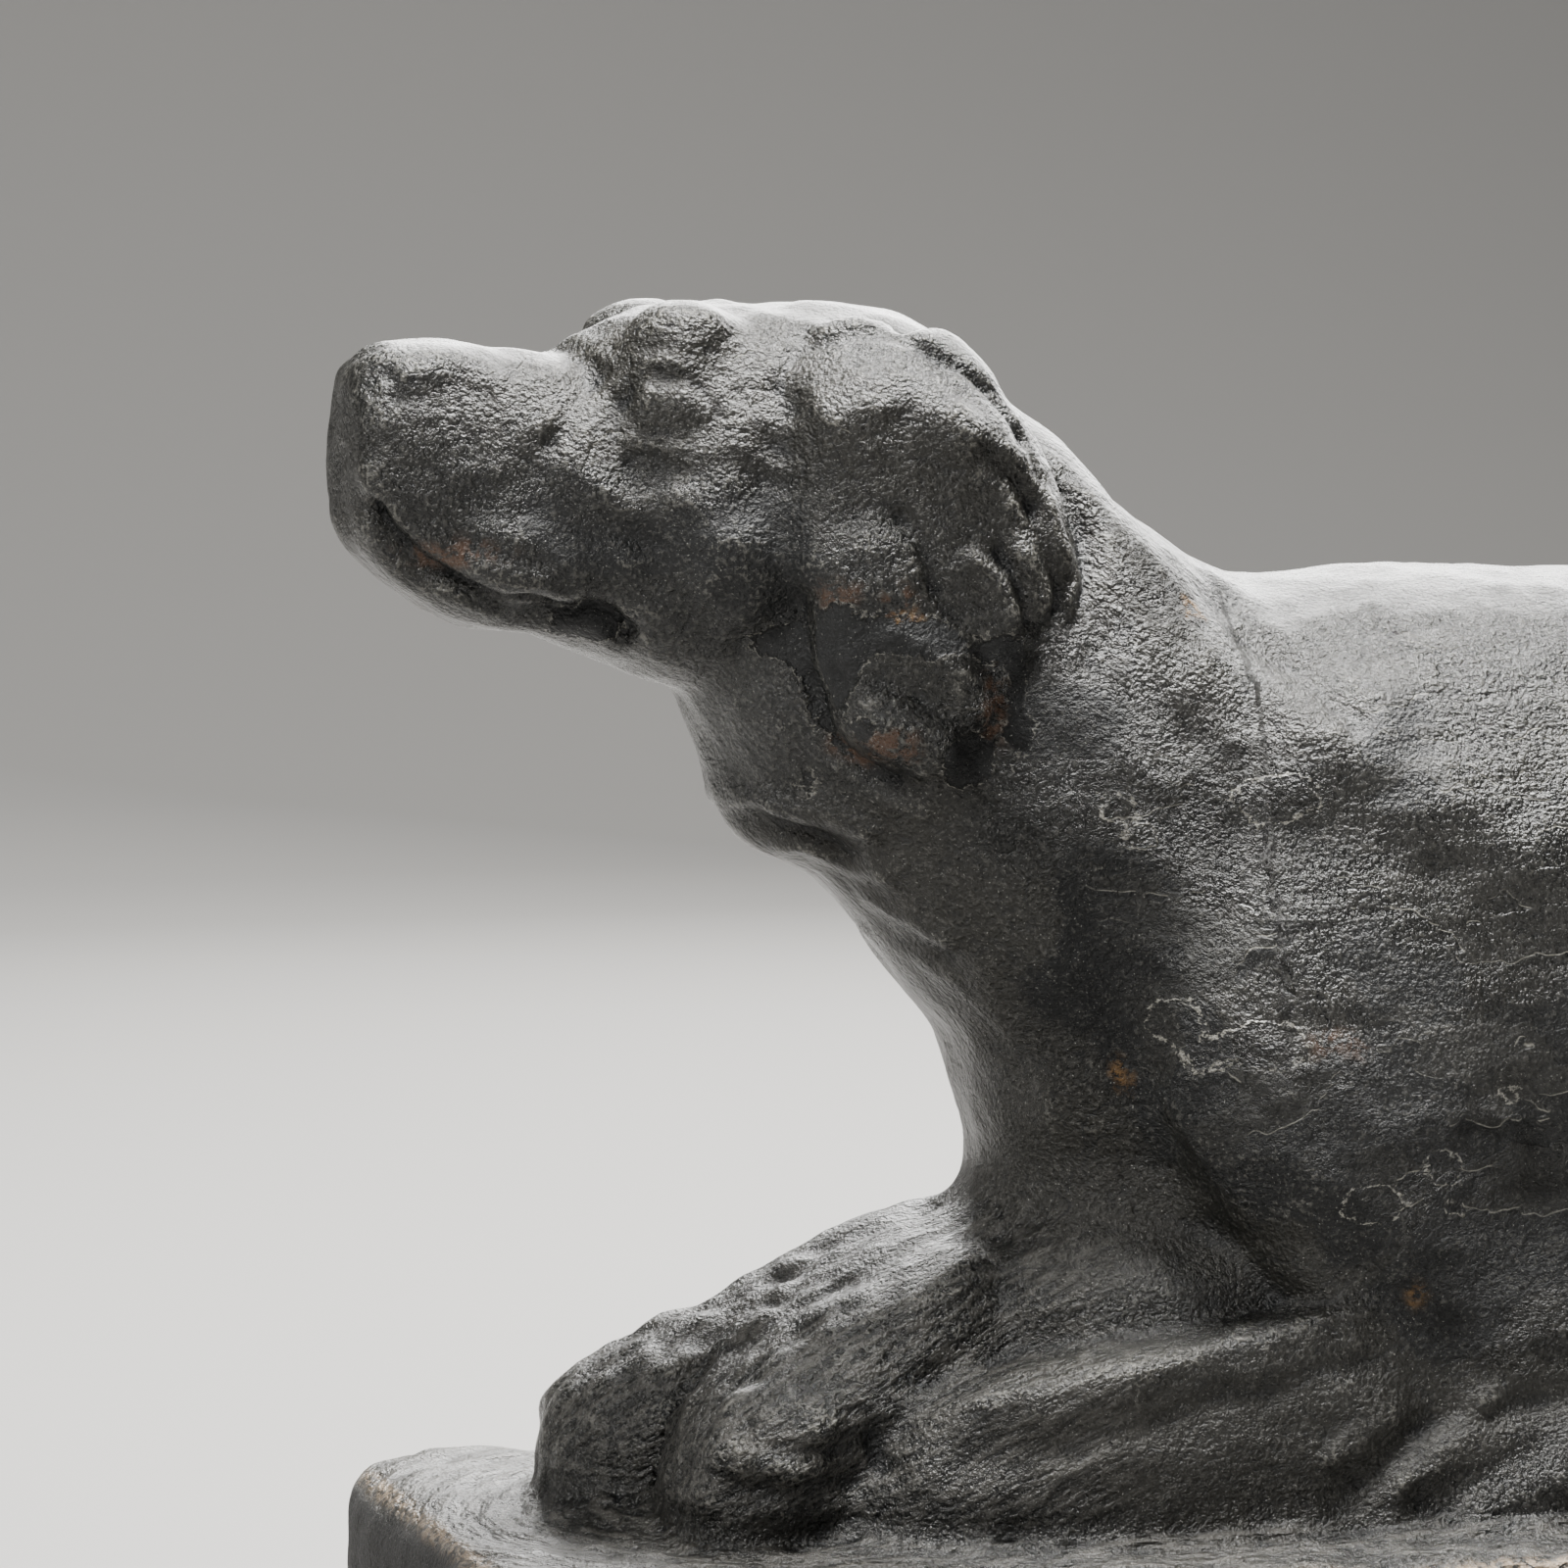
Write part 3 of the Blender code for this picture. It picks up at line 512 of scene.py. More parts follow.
def blendMasses(mesh):
    places, normals = readPoints(mesh)
    rounds = blending["filletRounds"]
    hollow = np.exp(-((places[:, 0] + 70) / 24) ** 2 - ((places[:, 2] - 43) / 8) ** 2)
    blend(mesh, hollow, rounds)
    between = np.exp(-((places[:, 1] + 3) / 8) ** 2) * step(10, 18, places[:, 2])
    between *= step(-134, -122, places[:, 0]) * (1 - step(-84, -72, places[:, 0]))
    blend(mesh, between * (1 - step(52, 60, places[:, 2])), rounds)
    eyes = np.exp(-((places[:, 0] + 131) / 8) ** 2 - ((places[:, 2] - 160) / 7) ** 2)
    cheeks = np.exp(-((places[:, 0] + 124) / 11) ** 2 - ((places[:, 2] - 145) / 9) ** 2)
    lips = np.exp(-((places[:, 0] + 150) / 9) ** 2 - ((places[:, 2] - 146) / 5) ** 2)
    blend(mesh, np.maximum(np.maximum(eyes, cheeks), lips), blending["faceRounds"])
    blend(mesh, eyes, blending["faceRounds"])
    top = blending["filletTop"]
    foot = step(-2, 0.5, places[:, 2]) * (1 - step(top - 4, top + 5, places[:, 2]))
    blend(mesh, foot * step(0, 5, rimDistance(places)), rounds)


def layer(name, places, seed):
    cell, height, turn = relief[name]
    c, s = math.cos(math.radians(turn)), math.sin(math.radians(turn))
    along = c * places[:, 0] + s * places[:, 2]
    up = c * places[:, 2] - s * places[:, 0]
    return height * latticeNoise(np.stack([along, places[:, 1], up], axis=1), cell, seed)


def plinthLines(places):
    # streaks follow the foot of the hound round its front
    x, y = places[:, 0], places[:, 1]
    lead = np.minimum(x + 112, 0)
    return np.stack([np.where(lead < 0, -112 + 30 * np.arctan2(lead, np.abs(y) + 1), x),
                     np.hypot(lead, y), places[:, 2]], axis=1)


def regions(places, normals):
    x, y, z = places.T
    top = step(0.35, 0.8, normals[:, 2])
    plinth = 1 - step(3, 12, z)
    legs = step(2, 7, z) * (1 - step(40, 50, z)) * (1 - step(-84, -62, x))
    face = step(120, 130, z + 0.35 * (x + 130)) * (1 - step(-88, -78, x))
    neck = (1 - step(-52, -38, x)) * step(52, 66, z) * (1 - face)
    flank = step(-74, -50, x) * step(6, 16, z)
    return {"plinthTop": plinth * top, "legs": legs, "face": face, "neck": neck, "flank": flank}


def roughen(mesh):
    places, normals = readPoints(mesh)
    region = regions(places, normals)
    push = layer("castLumps", places, 0) + layer("handMarks", places, 1)
    push += layer("paintRuns", places, 2)
    lines = plinthLines(places)
    push += region["plinthTop"] * (layer("plinthStreaks", lines, 3)
                                   + layer("finePlinthStreaks", lines, 4))
    push += region["flank"] * layer("flankStreaks", places, 5)
    push += region["neck"] * layer("neckStreaks", places, 6)
    push += region["legs"] * layer("legStreaks", places, 7)
    push += region["face"] * layer("faceLumps", places, 8)
    toesNear = region["legs"] * (1 - step(-112, -98, places[:, 0]))
    push += toesNear * layer("toeLumps", places, 9)
    push *= step(-plinthTop, 3 - plinthTop, places[:, 2])
    writePoints(mesh, places + normals * push[:, None])
    print("roughened", round(time.time() - startTime, 1), "s")


def lighten(mesh):
    heavy = bpy.data.objects.new("heavy", mesh)
    bpy.context.scene.collection.objects.link(heavy)
    mesh.calc_loop_triangles()
    thin = heavy.modifiers.new("thin", "DECIMATE")
    thin.ratio = casting["triangles"] / len(mesh.loop_triangles)
    thin.use_collapse_triangulate = True
    return settle(heavy)


def cutFlat(mesh):
    bm = bmesh.new()
    bm.from_mesh(mesh)
    bmesh.ops.bisect_plane(bm, geom=bm.verts[:] + bm.edges[:] + bm.faces[:], dist=1e-7,
                           plane_co=(0, 0, 0), plane_no=(0, 0, -1), clear_outer=True)
    rim = [edge for edge in bm.edges if edge.is_boundary]
    bmesh.ops.contextual_create(bm, geom=rim)
    bmesh.ops.triangulate(bm, faces=[face for face in bm.faces if len(face.verts) > 3])
    bmesh.ops.recalc_face_normals(bm, faces=bm.faces)
    bm.to_mesh(mesh)
    bm.free()


marks = {  # patches on the near side: centre x and z, half width and half height
    "rough": [(-80, 112, 15, 13), (-70, 96, 15, 16), (-66, 84, 9, 12), (-56, 108, 8, 5),
              (-72, 72, 9, 12), (-52, 60, 14, 9), (-28, 52, 16, 12), (-14, 40, 22, 16),
              (40, 60, 40, 30), (-60, 135, 8, 8)],
    # dark patches: blue-black paint in part, and in part painted shade that darkens the flank and
    # shoulder
    "dark": [(-73, 86, 8, 10), (-68, 72, 7, 12), (-58, 60, 10, 7), (-45, 52, 10, 8),
             (-28, 36, 9, 10), (-12, 44, 18, 12), (-30, 110, 6, 7), (16, 52, 24, 14),
             (80, 66, 26, 20), (-78, 116, 8, 5), (-26, 64, 18, 9), (-32, 79, 9, 5),
             (-4, 72, 12, 6), (-138, 140, 10, 4), (-124, 136, 8, 7), (-60, 84, 6, 5)],
    "film": [(-86, 68, 15, 26), (-104, 92, 14, 12), (-76, 44, 14, 8), (-60, 16, 26, 10),
             (-62, 42, 22, 7), (-20, 20, 24, 7)],
    "flaky": [(-40, 96, 34, 28), (-10, 84, 30, 36), (-52, 68, 16, 14), (-14, 56, 26, 22),
              (40, 90, 44, 40), (100, 70, 50, 50), (-70, 118, 12, 10), (-130, 156, 16, 12)],
    "rust": [(-104, 131, 3.2, 3), (-90, 117, 2.4, 5), (-106, 112, 5, 3), (-112, 133, 3, 2),
             (-163, 139, 7, 2.2), (-44, 70, 4, 2)],
    "ochre": [(-103, 128.5, 2.4, 2.2), (-32, 34, 0.9, 1.6), (-70, 65, 0.8, 1.6),
              (-59, 130, 1.0, 1.0)],
    "chips": [(-112.5, 119.5, 1.9, 7), (-109.5, 114, 2.8, 2.6), (-88.5, 125, 3, 2.2),
              (-86.5, 120, 1.7, 4.6), (-94, 110.5, 2.4, 2.8), (-116, 126, 2, 1.2),
              (-100, 127, 2.4, 1.2), (-109, 127.5, 2.4, 1), (-143, 129, 2.2, 1.4)],
    "flakes": [(-64.5, 73, 2.8, 3.4), (-61.5, 68.5, 2.6, 2), (-54, 70, 6.5, 3.2),
               (-38.5, 47.5, 4.5, 3.0), (-28.5, 52.5, 3.4, 2.2), (-72, 103, 3, 1.8),
               (-69, 99, 2.4, 1.8), (-50, 104, 6, 3.4), (-18, 62, 2.2, 1.4), (-26, 46, 2, 1.2),
               (8, 70, 6, 3), (30, 50, 5, 3), (70, 84, 8, 4), (96, 60, 5, 4)],
    "shift": (9.0, 4.0),  # the far side wears the same marks, moved along and down
}
paint = {
    "base": (0.0062, 0.0063, 0.0054, 1),
    "film": (0.0110, 0.0103, 0.0078, 1),
    # dark: blue-black paint, and painted shade in creases, hollows, chips and on the plinth's sides
    "dark": (0.0020, 0.0025, 0.0027, 1),
    "lifted": (0.0190, 0.0184, 0.0158, 1),
    # the pale colour on the peaks of the cast grain is a painted glint
    "grit": (0.072, 0.070, 0.063, 1),
    # a painted highlight on the crests of the brush streaks
    "streakHighlight": (0.070, 0.067, 0.060, 1),
    # pale edge colour: the real pale rims of chips and flakes, worn paint and painted highlight on
    # ridges, and a painted highlight on the flakes' lower edges
    "edge": (0.34, 0.33, 0.29, 1),
    "rust": (0.055, 0.028, 0.015, 1),
    "ochre": (0.19, 0.10, 0.028, 1),
    # the plinth's rounded top edge: worn brown paint and a painted highlight
    "rim": (0.26, 0.20, 0.14, 1),
    # painted glints: tiny bright specks of painted highlight
    "glint": (0.28, 0.28, 0.26, 1),
    # near black: the dark lines of the paint's cracks, and painted shade in the pinholes
    "crackAndPitShade": (0.002, 0.002, 0.002, 1),
    "roughness": 0.19,
    "ior": 1.55,
    "shine": 0.36,
    "gritSize": (0.75, 0.75, 0.75),  # millimetres along, across and up
    "wrinkleSize": (2.4, 2.4, 1.8),
    "pitSize": (1.4, 1.4, 1.1),
    "brushSize": (6, 1.7, 1.0),
    "flakeSize": (17, 10, 7.5),
    "glintSize": (0.34, 0.34, 0.34),
    "flakeLift": 0.20,  # the lit edge of a flake is this wide
    "flakeTurn": 2.0,
}
skinHeights = {  # millimetres that each layer of the skin stands up
    "grit": 0.66,
    "wrinkles": 0.80,
    "brush": 0.60,
    "pits": 0.80,
    "plateaus": 0.24,
    "chips": -0.60,
    "flakes": 0.26,
    "pinholes": -0.35,
}


def patchDistance(places, patches, warp):
    # signed distance, negative inside the nearest patch, in about millimetres
    far = places[:, 1] > 0
    x = places[:, 0] - np.where(far, marks["shift"][0], 0) + warp[:, 0]
    z = places[:, 2] + np.where(far, marks["shift"][1], 0) + warp[:, 1]
    nearest = np.full(len(places), 99.0)
    for cx, cz, rx, rz in patches:
        ratio = np.hypot((x - cx) / rx, (z - cz) / rz)
        nearest = np.minimum(nearest, (ratio - 1) * min(rx, rz))
    return nearest


def flowLines(places, region):
    # a drawing board for the brush: millimetres along the stroke, across and up
    flow = places.copy()
    strongest = np.max(np.stack(list(region.values())), axis=0)
    for name, turn in {"neck": -40, "legs": 27, "flank": 2, "face": -12}.items():
        c, s = math.cos(math.radians(turn)), math.sin(math.radians(turn))
        here = region[name] >= strongest
        flow[here, 0] = (c * places[:, 0] + s * places[:, 2])[here]
        flow[here, 2] = (c * places[:, 2] - s * places[:, 0])[here]
    here = region["plinthTop"] >= strongest
    flow[here] = plinthLines(places)[here]
    return flow


def bulge(mesh, places, normals, rounds):
    # how far each point stands out from the skin around it, in millimetres
    pairs, counts = readEdges(mesh)
    around = places.copy()
    for _ in range(rounds):
        around = neighbourMean(around, pairs, counts)
    return np.einsum("ij,ij->i", places - around, normals)


def keepField(mesh, name, values):
    kind = "FLOAT_VECTOR" if values.ndim > 1 else "FLOAT"
    field = mesh.attributes.new(name, kind, "POINT")
    field.data.foreach_set("vector" if values.ndim > 1 else "value", values.ravel())


# the paint's worn patches, and the masks for painted shade and painted highlights
def markWearAndPaintedLight(mesh):
    places, normals = readPoints(mesh)
    here = regions(places, normals)
    for name in ("legs", "plinthTop"):
        keepField(mesh, name, here[name])
    wide = np.stack([latticeNoise(places, (9, 9, 9), 20 + k) for k in range(2)], axis=1)
    fine = np.stack([latticeNoise(places, (2.6, 2.6, 2.6), 30 + k) for k in range(2)], axis=1)
    onSide = step(0.15, 0.5, np.abs(normals[:, 1]))
    for name in ("rough", "dark", "film", "flaky"):
        distance = patchDistance(places, marks[name], 5.0 * wide + 1.0 * fine)
        keepField(mesh, name, (1 - step(-3, 4, distance)) * onSide)
    for name in ("rust", "ochre"):
        distance = patchDistance(places, marks[name], 0.9 * fine)
        keepField(mesh, name, (1 - step(-1.2, 0.8, distance)) * onSide)
    for name in ("chips", "flakes"):
        distance = patchDistance(places, marks[name], 0.8 * fine)
        keepField(mesh, name, np.where(onSide > 0.3, distance, 9.0))
    keepField(mesh, "flow", flowLines(places, here))
    bend = np.stack([latticeNoise(places, (3.3, 3.3, 3.3), 60 + k) for k in range(3)], axis=1)
    keepField(mesh, "wavy", places + 0.9 * bend)
    strongest = np.max(np.stack(list(here.values())), axis=0)
    calm = (1 - 0.75 * here["face"]) * (1 - 0.6 * here["flank"]) * (1 + 0.9 * here["plinthTop"])
    keepField(mesh, "brush", step(0.5, 0.9, strongest) * calm)
    # the plinth's upright sides: rougher, pitted, and darkened with painted shade
    walls = (1 - step(-3, 0.5, places[:, 2])) * (1 - step(0.3, 0.7, np.abs(normals[:, 2])))
    keepField(mesh, "walls", walls)
    # a band along the plinth's rounded top edge, painted pale brown: partly worn paint, partly a
    # painted highlight
    rim = np.exp(-((places[:, 2] + 1.3) / 1.3) ** 2) * (1 - step(2, 5, rimDistance(places)))
    keepField(mesh, "rim", rim)
    keepField(mesh, "gate", step(-0.35, 0.25, latticeNoise(places, (19, 14, 9), 40)))
    mottle = latticeNoise(places, (24, 24, 16), 41) + 0.5 * latticeNoise(places, (8, 8, 6), 42)
    keepField(mesh, "mottle", step(-0.5, 0.7, mottle))
    keepField(mesh, "crackGate", step(0.1, 0.45, latticeNoise(places, (11, 11, 11), 43)))
    # how far the skin bulges; it lightens ridges with worn paint and a painted highlight, and puts
    # painted shade in creases
    keepField(mesh, "ridge", bulge(mesh, places, normals, 4))
    print("wear marked", round(time.time() - startTime, 1), "s")


def node(tree, kind, inputs=None, **settings):
    made = tree.nodes.new("ShaderNode" + kind)
    for name, value in settings.items():
        setattr(made, name, value)
    for key, value in (inputs or {}).items():
        if isinstance(value, bpy.types.NodeSocket):
            tree.links.new(value, made.inputs[key])
        else:
            made.inputs[key].default_value = value
    return made


def field(tree, name):
    return node(tree, "Attribute", attribute_name=name).outputs["Fac"]


def combine(tree, a, b, operation="ADD"):
    return node(tree, "Math", {0: a, 1: b}, operation=operation).outputs[0]


def scaled(tree, socket, amount):
    return combine(tree, socket, amount, "MULTIPLY")


def ramp(tree, value, low, high):
    made = node(tree, "MapRange", {"Value": value, "From Min": low, "From Max": high},
                interpolation_type="SMOOTHSTEP")
    return made.outputs["Result"]


def grain(tree, place, size, detail=3.0, roughness=0.55, offset=(0, 0, 0)):
    # noise whose lumps measure about the given millimetres
    sized = node(tree, "VectorMath", {0: place, 1: [1 / length for length in size]},
                 operation="MULTIPLY")
    moved = node(tree, "VectorMath", {0: sized.outputs[0], 1: offset}, operation="ADD")
    noise = node(tree, "TexNoise", {"Vector": moved.outputs[0], "Scale": 1.0, "Detail": detail,
                                    "Roughness": roughness})
    return noise.outputs["Fac"]


def total(tree, *terms):
    # adds up pairs of an amount and a socket
    height = None
    for amount, socket in terms:
        part = scaled(tree, socket, amount)
        height = part if height is None else combine(tree, height, part)
    return height


def product(tree, *sockets):
    result = sockets[0]
    for socket in sockets[1:]:
        result = combine(tree, result, socket, "MULTIPLY")
    return result


def paintPatterns(tree, mm, wavy, flow):
    return {
        "grit": grain(tree, mm, paint["gritSize"], roughness=0.62),
        "wrinkles": grain(tree, wavy, paint["wrinkleSize"], roughness=0.62),
        "pitting": grain(tree, wavy, paint["pitSize"], roughness=0.7, offset=(4, 2, 9)),
        "streaks": grain(tree, flow, paint["brushSize"]),
        "glints": grain(tree, mm, paint["glintSize"], detail=1, offset=(2, 2, 2)),
    }


def flakePlateaus(tree, wavy):
    # plateaus of the top coat, then the same ones moved up; the gap between them marks their lower
    # edges, which take a painted highlight
    turned = node(tree, "Mapping", {"Vector": wavy,
                                    "Rotation": (0, math.radians(paint["flakeTurn"]), 0)})
    size = paint["flakeSize"]
    plateaus = []
    for rise in (0.0, paint["flakeLift"]):
        shape = grain(tree, turned.outputs[0], size, roughness=0.5, offset=(0, 0, rise / size[2]))
        plateaus.append(ramp(tree, shape, 0.515, 0.525))
    return plateaus


def wornPatches(tree, at, pattern):
    # chips go down to the iron, flakes are scales of paint that still stand; both have pale rims
    chipEdge = total(tree, (1, at["chips"]), (3.4, pattern["wrinkles"]), (1.6, pattern["grit"]),
                     (-2.6, at["gate"]))
    chipEdge = combine(tree, chipEdge, 1.6, "SUBTRACT")
    flakeEdge = total(tree, (1, at["flakes"]), (3.0, pattern["wrinkles"]), (1.0, pattern["grit"]))
    flakeEdge = combine(tree, flakeEdge, 2.0, "SUBTRACT")
    return {
        "chipped": ramp(tree, chipEdge, 0.25, -0.25),
        "chipRim": product(tree, ramp(tree, chipEdge, 0.1, 0.25), ramp(tree, chipEdge, 0.5, 0.3),
                           ramp(tree, pattern["pitting"], 0.46, 0.56)),
        "flaked": ramp(tree, flakeEdge, 0.15, -0.15),
        "flakeRim": product(tree, ramp(tree, flakeEdge, -0.25, 0.0),
                            ramp(tree, flakeEdge, 0.25, 0.1),
                            ramp(tree, pattern["pitting"], 0.42, 0.52)),
    }


def pinholes(tree, wavy, pattern):
    pores = node(tree, "TexVoronoi", {"Vector": wavy, "Scale": 0.42}, feature="F1")
    return product(tree, ramp(tree, pores.outputs["Distance"], 0.20, 0.11),
                   ramp(tree, pattern["grit"], 0.50, 0.54))


def cracks(tree, wavy, at):
    cells = node(tree, "TexVoronoi", {"Vector": wavy, "Scale": 0.085}, feature="DISTANCE_TO_EDGE")
    return product(tree, ramp(tree, cells.outputs["Distance"], 0.012, 0.004), at["crackGate"])


def skinRelief(tree, at, pattern, worn, plateau, holes):
    rumple = product(tree, pattern["wrinkles"], combine(tree, scaled(tree, at["mottle"], 0.8), 0.2))
    pitted = combine(tree, at["rough"], at["walls"], "MAXIMUM")
    layers = {
        "grit": pattern["grit"],
        "wrinkles": rumple,
        "brush": product(tree, pattern["streaks"], at["brush"]),
        "pits": product(tree, ramp(tree, pattern["pitting"], 0.40, 0.56), pitted),
        "plateaus": product(tree, plateau, product(tree, at["flaky"], at["gate"])),
        "chips": worn["chipped"],
        "flakes": worn["flaked"],
        "pinholes": holes,
    }
    height = total(tree, *[(skinHeights[name], layers[name]) for name in skinHeights])
    return node(tree, "Bump", {"Strength": 1.0, "Distance": unit, "Height": height}).outputs[0]


def paintCoats(tree, at, pattern, worn, plateaus, patchy, crackAndPitShade):
    # how much of each colour lies over those before it
    here, above = plateaus
    # the lower edge of each flake gets a painted highlight
    lowerEdge = ramp(tree, combine(tree, above, here, "SUBTRACT"), 0.0, 1.0)
    litEdge = product(tree, lowerEdge, product(tree, at["flaky"], at["gate"]))
    legsOrPlinth = combine(tree, at["legs"], at["plinthTop"], "MAXIMUM")
    # the crests of the brush streaks on the legs and plinth top, which take a painted highlight
    streaky = product(tree, ramp(tree, pattern["streaks"], 0.46, 0.60), legsOrPlinth)
    ridged = product(tree, ramp(tree, at["ridge"], 0.10, 0.40), ramp(tree, pattern["grit"], 0.48, 0.62))
    return [
        (at["mottle"], "film"),
        (at["film"], "film"),
        # dark patches: partly blue-black paint, partly painted shade
        (patchy, "dark"),
        (scaled(tree, product(tree, here, at["flaky"]), 0.7), "lifted"),
        # painted shade in the troughs of the wrinkles
        (scaled(tree, ramp(tree, pattern["wrinkles"], 0.46, 0.36), 0.6), "dark"),
        # painted glints on the peaks of the grain
        (scaled(tree, ramp(tree, pattern["grit"], 0.53, 0.66), 0.55), "grit"),
        # painted shade in the hollows of the grain
        (ramp(tree, pattern["grit"], 0.42, 0.28), "dark"),
        # painted highlight on the crests of the brush streaks
        (scaled(tree, streaky, 0.55), "streakHighlight"),
        # ridges lighter: worn paint and a painted highlight
        (scaled(tree, ridged, 0.22), "edge"),
        # creases darker: painted shade
        (ramp(tree, at["ridge"], -0.08, -0.45), "dark"),
        # painted shade on the plinth's upright sides
        (scaled(tree, at["walls"], 0.6), "dark"),
        # worn paint and a painted highlight along the plinth's top edge
        (product(tree, at["rim"], ramp(tree, pattern["pitting"], 0.42, 0.56)), "rim"),
        (product(tree, at["rust"], ramp(tree, pattern["wrinkles"], 0.42, 0.56)), "rust"),
        (product(tree, at["ochre"], ramp(tree, pattern["pitting"], 0.42, 0.52)), "ochre"),
        # chips: dark bare iron, with painted shade in the hollow
        (worn["chipped"], "dark"),
        # a painted highlight on the lower edges of flakes, and the pale rims of chips and flakes
        (total(tree, (0.65, litEdge), (0.40, worn["chipRim"]), (0.8, worn["flakeRim"])), "edge"),
        # dark crack lines, and painted shade in the pinholes
        (crackAndPitShade, "crackAndPitShade"),
        # painted glints scattered over the skin
        (scaled(tree, ramp(tree, pattern["glints"], 0.69, 0.77), 0.7), "glint"),
    ]


def oldPaint():
    skin = bpy.data.materials.new("old_black_paint")
    skin.use_nodes = True
    tree = skin.node_tree
    shader = tree.nodes["Principled BSDF"]
    where = node(tree, "TexCoord").outputs["Object"]
    mm = node(tree, "VectorMath", {0: where, 1: (1 / unit,) * 3}, operation="MULTIPLY").outputs[0]
    flow = node(tree, "Attribute", attribute_name="flow").outputs["Vector"]
    wavy = node(tree, "Attribute", attribute_name="wavy").outputs["Vector"]
    names = ("brush", "rough", "dark", "film", "flaky", "rust", "ochre", "chips", "flakes",
             "ridge", "gate", "mottle", "crackGate", "walls", "rim", "legs", "plinthTop")
    at = {name: field(tree, name) for name in names}
    pattern = paintPatterns(tree, mm, wavy, flow)
    plateaus = flakePlateaus(tree, wavy)
    worn = wornPatches(tree, at, pattern)
    holes = pinholes(tree, wavy, pattern)
    # dark patches, partly painted shade on the flank and shoulder
    patchy = ramp(tree, combine(tree, at["dark"], pattern["pitting"]), 0.64, 1.00)
    # the cracks' dark lines, and painted shade in the pinholes
    crackAndPitShade = combine(tree, cracks(tree, wavy, at), scaled(tree, holes, 0.8), "MAXIMUM")

    colour = paint["base"]
    for amount, name in paintCoats(tree, at, pattern, worn, plateaus, patchy, crackAndPitShade):
        coat = node(tree, "Mix", {0: amount, 6: colour, 7: paint[name]}, data_type="RGBA")
        colour = coat.outputs[2]
    dull = total(tree, (0.16, pattern["grit"]), (0.16, at["film"]), (0.12, at["rough"]),
                 (0.30, worn["chipped"]), (0.06, at["mottle"]), (0.24, patchy),
                 (0.42, at["walls"]))
    tree.links.new(colour, shader.inputs["Base Color"])
    tree.links.new(combine(tree, dull, paint["roughness"]), shader.inputs["Roughness"])
    tree.links.new(skinRelief(tree, at, pattern, worn, plateaus[0], holes), shader.inputs["Normal"])
    shader.inputs["IOR"].default_value = paint["ior"]
    shader.inputs["Specular IOR Level"].default_value = paint["shine"]
    print("paint mixed", round(time.time() - startTime, 1), "s")
    return skin


def keepInside(mesh):
    # the relief may not reach past the frame's own box
    places = np.empty(len(mesh.vertices) * 3)
    mesh.vertices.foreach_get("co", places)
    places = np.clip(places.reshape(-1, 3), lowCorner, highCorner)
    mesh.vertices.foreach_set("co", places.ravel())
    mesh.update()


def makeCasting():
    mesh = modelWax()
    blendMasses(mesh)
    carve(mesh)
    roughen(mesh)
    mesh = lighten(mesh)
    cutFlat(mesh)
    keepInside(mesh)
    markWearAndPaintedLight(mesh)
    mesh.shade_smooth()
    mesh.materials.clear()
    mesh.materials.append(oldPaint())
    doorstop = bpy.data.objects.new("cast_hound", mesh)
    bpy.context.scene.collection.objects.link(doorstop)
    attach(doorstop, "root")
    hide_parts(casting["node"])
    print("casting:", len(mesh.polygons), "triangles", round(time.time() - startTime, 1), "s")


studio = {
    "azimuth": -16.0,  # degrees, towards the nose
    "elevation": 5.0,
    "lens": 165.0,
    "distance": 1.026,
    "target": (-0.11144, 0.0, 0.12644),
    "floorColour": (0.215, 0.211, 0.204, 1),
    "world": (0.80, 0.82, 0.85, 1),
    "worldStrength": 0.05,
    "lit": (0, 0, 0.09),  # the point that the lights face
    "lights": {  # place, size, watts, colour
        "above": ((0.07, 0.05, 0.96), (0.34, 0.46), 66.0, (1.0, 0.99, 0.97)),
        "behind": ((0.36, 0.74, 0.50), (0.80, 0.45), 21.0, (1.0, 0.99, 0.97)),
        "left": ((-0.66, -0.26, 0.70), (0.22, 0.22), 8.0, (1.0, 0.99, 0.97)),
        "front": ((-0.22, -0.95, 0.80), (0.14, 0.14), 2.0, (1.0, 0.98, 0.96)),
    },
    "sweepFront": -2.5,
    "sweepDepth": 1.6,
    "sweepRadius": 0.6,
    "sweepHeight": 2.2,
    "sweepHalfWidth": 3.0,
}


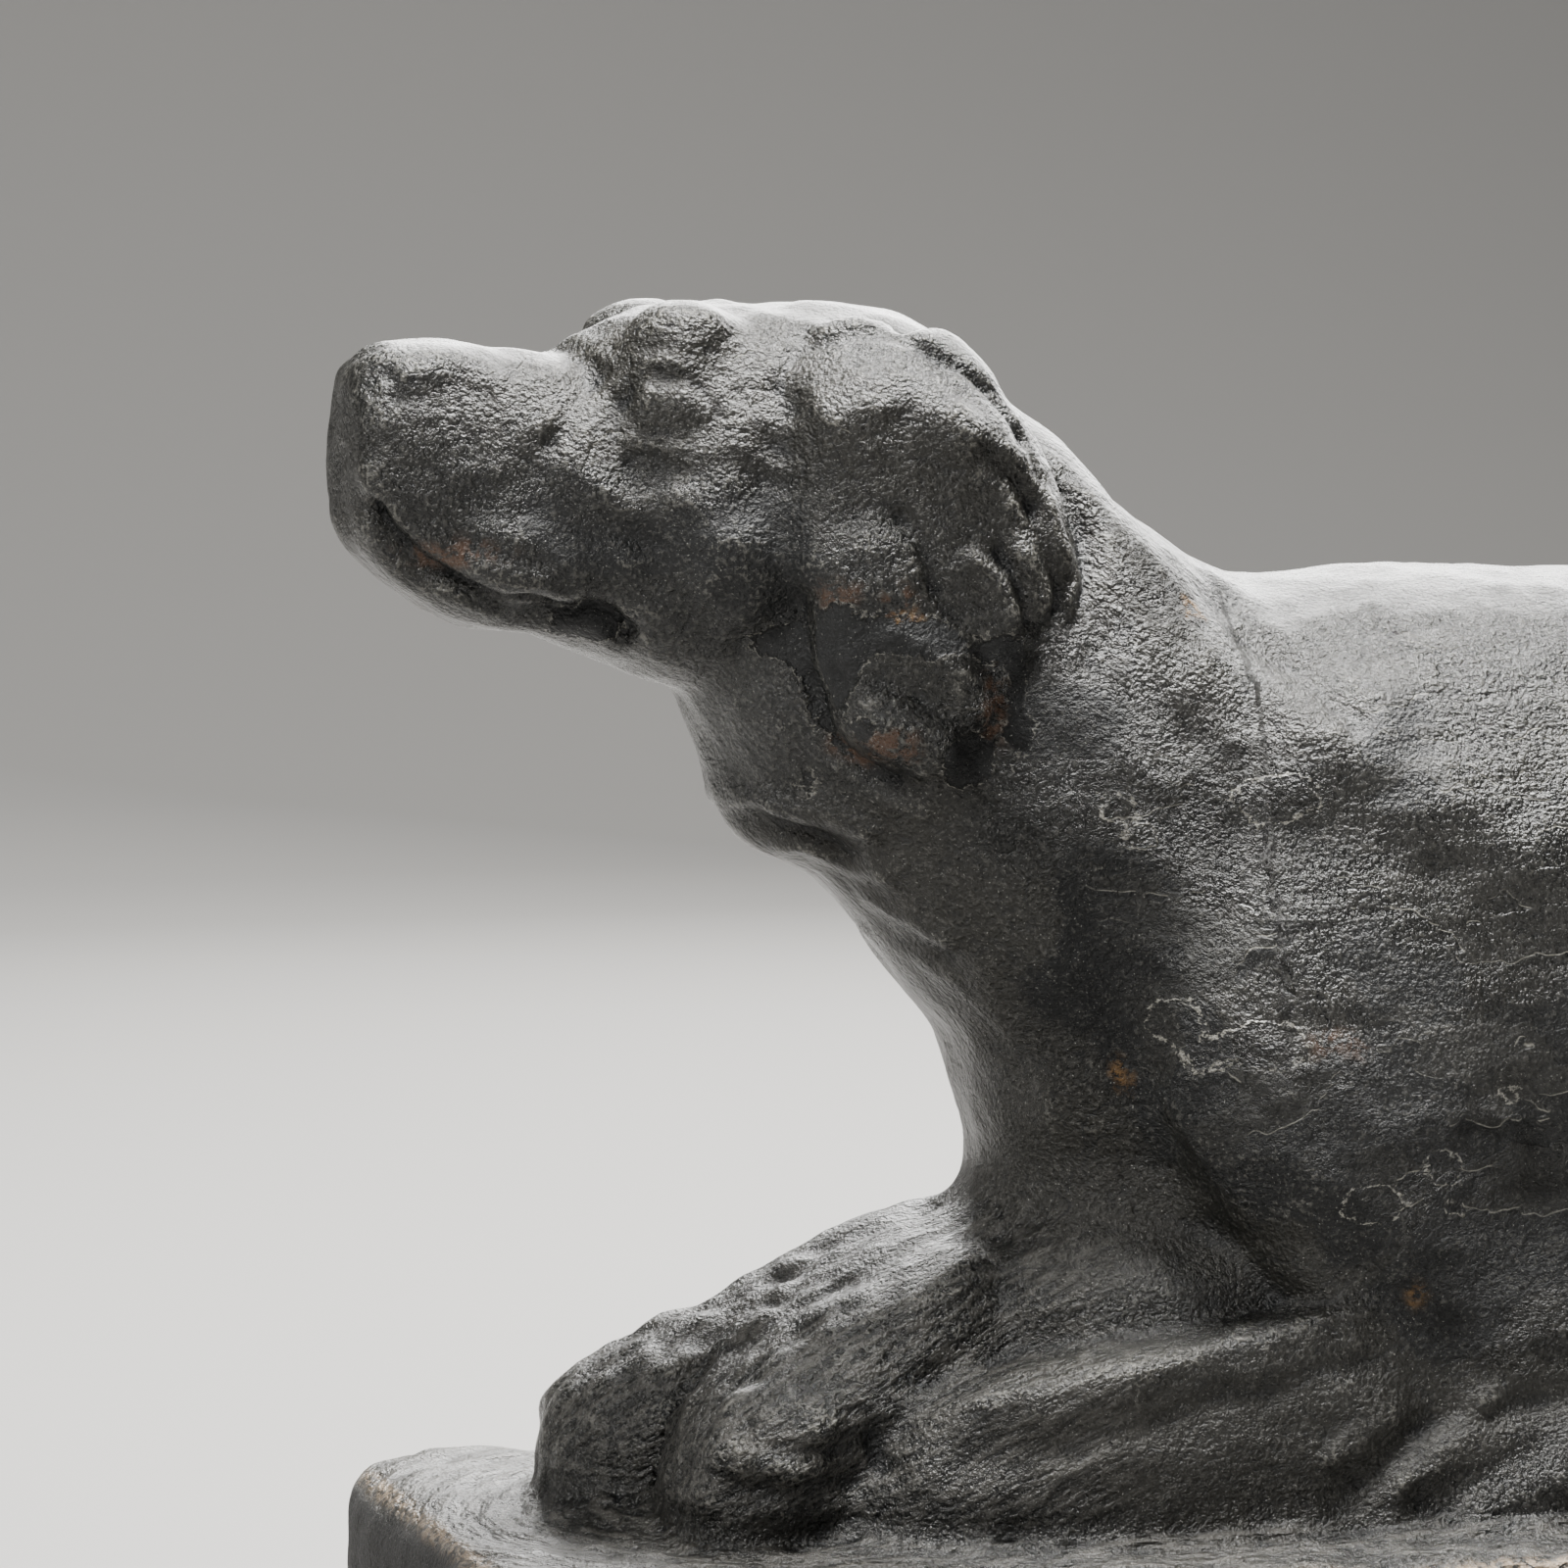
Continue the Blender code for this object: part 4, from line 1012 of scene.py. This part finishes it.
def makeStudio():
    scene = bpy.context.scene
    azimuth, elevation = math.radians(studio["azimuth"]), math.radians(studio["elevation"])
    back = Vector((math.sin(azimuth) * math.cos(elevation),
                   -math.cos(azimuth) * math.cos(elevation), math.sin(elevation)))
    target = Vector(studio["target"])
    camera = bpy.data.objects.new("camera", bpy.data.cameras.new("camera"))
    scene.collection.objects.link(camera)
    camera.data.lens = studio["lens"]
    camera.data.sensor_width = 36
    camera.location = target + back * studio["distance"]
    camera.rotation_euler = back.to_track_quat("Z", "Y").to_euler()
    scene.camera = camera
    for name, (place, size, watts, colour) in studio["lights"].items():
        light = bpy.data.lights.new(name, "AREA")
        light.shape = "RECTANGLE"
        light.size, light.size_y = size
        light.energy = watts
        light.color = colour
        lamp = bpy.data.objects.new(name, light)
        lamp.location = place
        aim = Vector(place) - Vector(studio["lit"])
        lamp.rotation_euler = aim.to_track_quat("Z", "Y").to_euler()
        scene.collection.objects.link(lamp)
    sky = bpy.data.worlds.new("studio")
    sky.use_nodes = True
    sky.node_tree.nodes["Background"].inputs["Color"].default_value = studio["world"]
    sky.node_tree.nodes["Background"].inputs["Strength"].default_value = studio["worldStrength"]
    scene.world = sky
    makeSweep()


def makeSweep():
    bm = bmesh.new()
    front, depth = studio["sweepFront"], studio["sweepDepth"]
    radius, wide = studio["sweepRadius"], studio["sweepHalfWidth"]
    profile = [(front, 0)]
    for k in range(13):
        turn = math.radians(90 * k / 12)
        profile.append((depth - radius + radius * math.sin(turn), radius - radius * math.cos(turn)))
    profile.append((depth, studio["sweepHeight"]))
    rows = [[bm.verts.new((x, y, z - 0.0002)) for y, z in profile] for x in (-wide, wide)]
    for k in range(len(profile) - 1):
        bm.faces.new((rows[0][k], rows[1][k], rows[1][k + 1], rows[0][k + 1]))
    mesh = bpy.data.meshes.new("floor")
    bm.to_mesh(mesh)
    bm.free()
    mesh.shade_smooth()
    paper = bpy.data.materials.new("pale_paper")
    paper.use_nodes = True
    paper.node_tree.nodes["Principled BSDF"].inputs["Base Color"].default_value = studio["floorColour"]
    paper.node_tree.nodes["Principled BSDF"].inputs["Roughness"].default_value = 0.9
    mesh.materials.append(paper)
    floor = bpy.data.objects.new("floor", mesh)
    bpy.context.scene.collection.objects.link(floor)
    print("floor laid", round(time.time() - startTime, 1), "s")


makeStudio()
makeCasting()
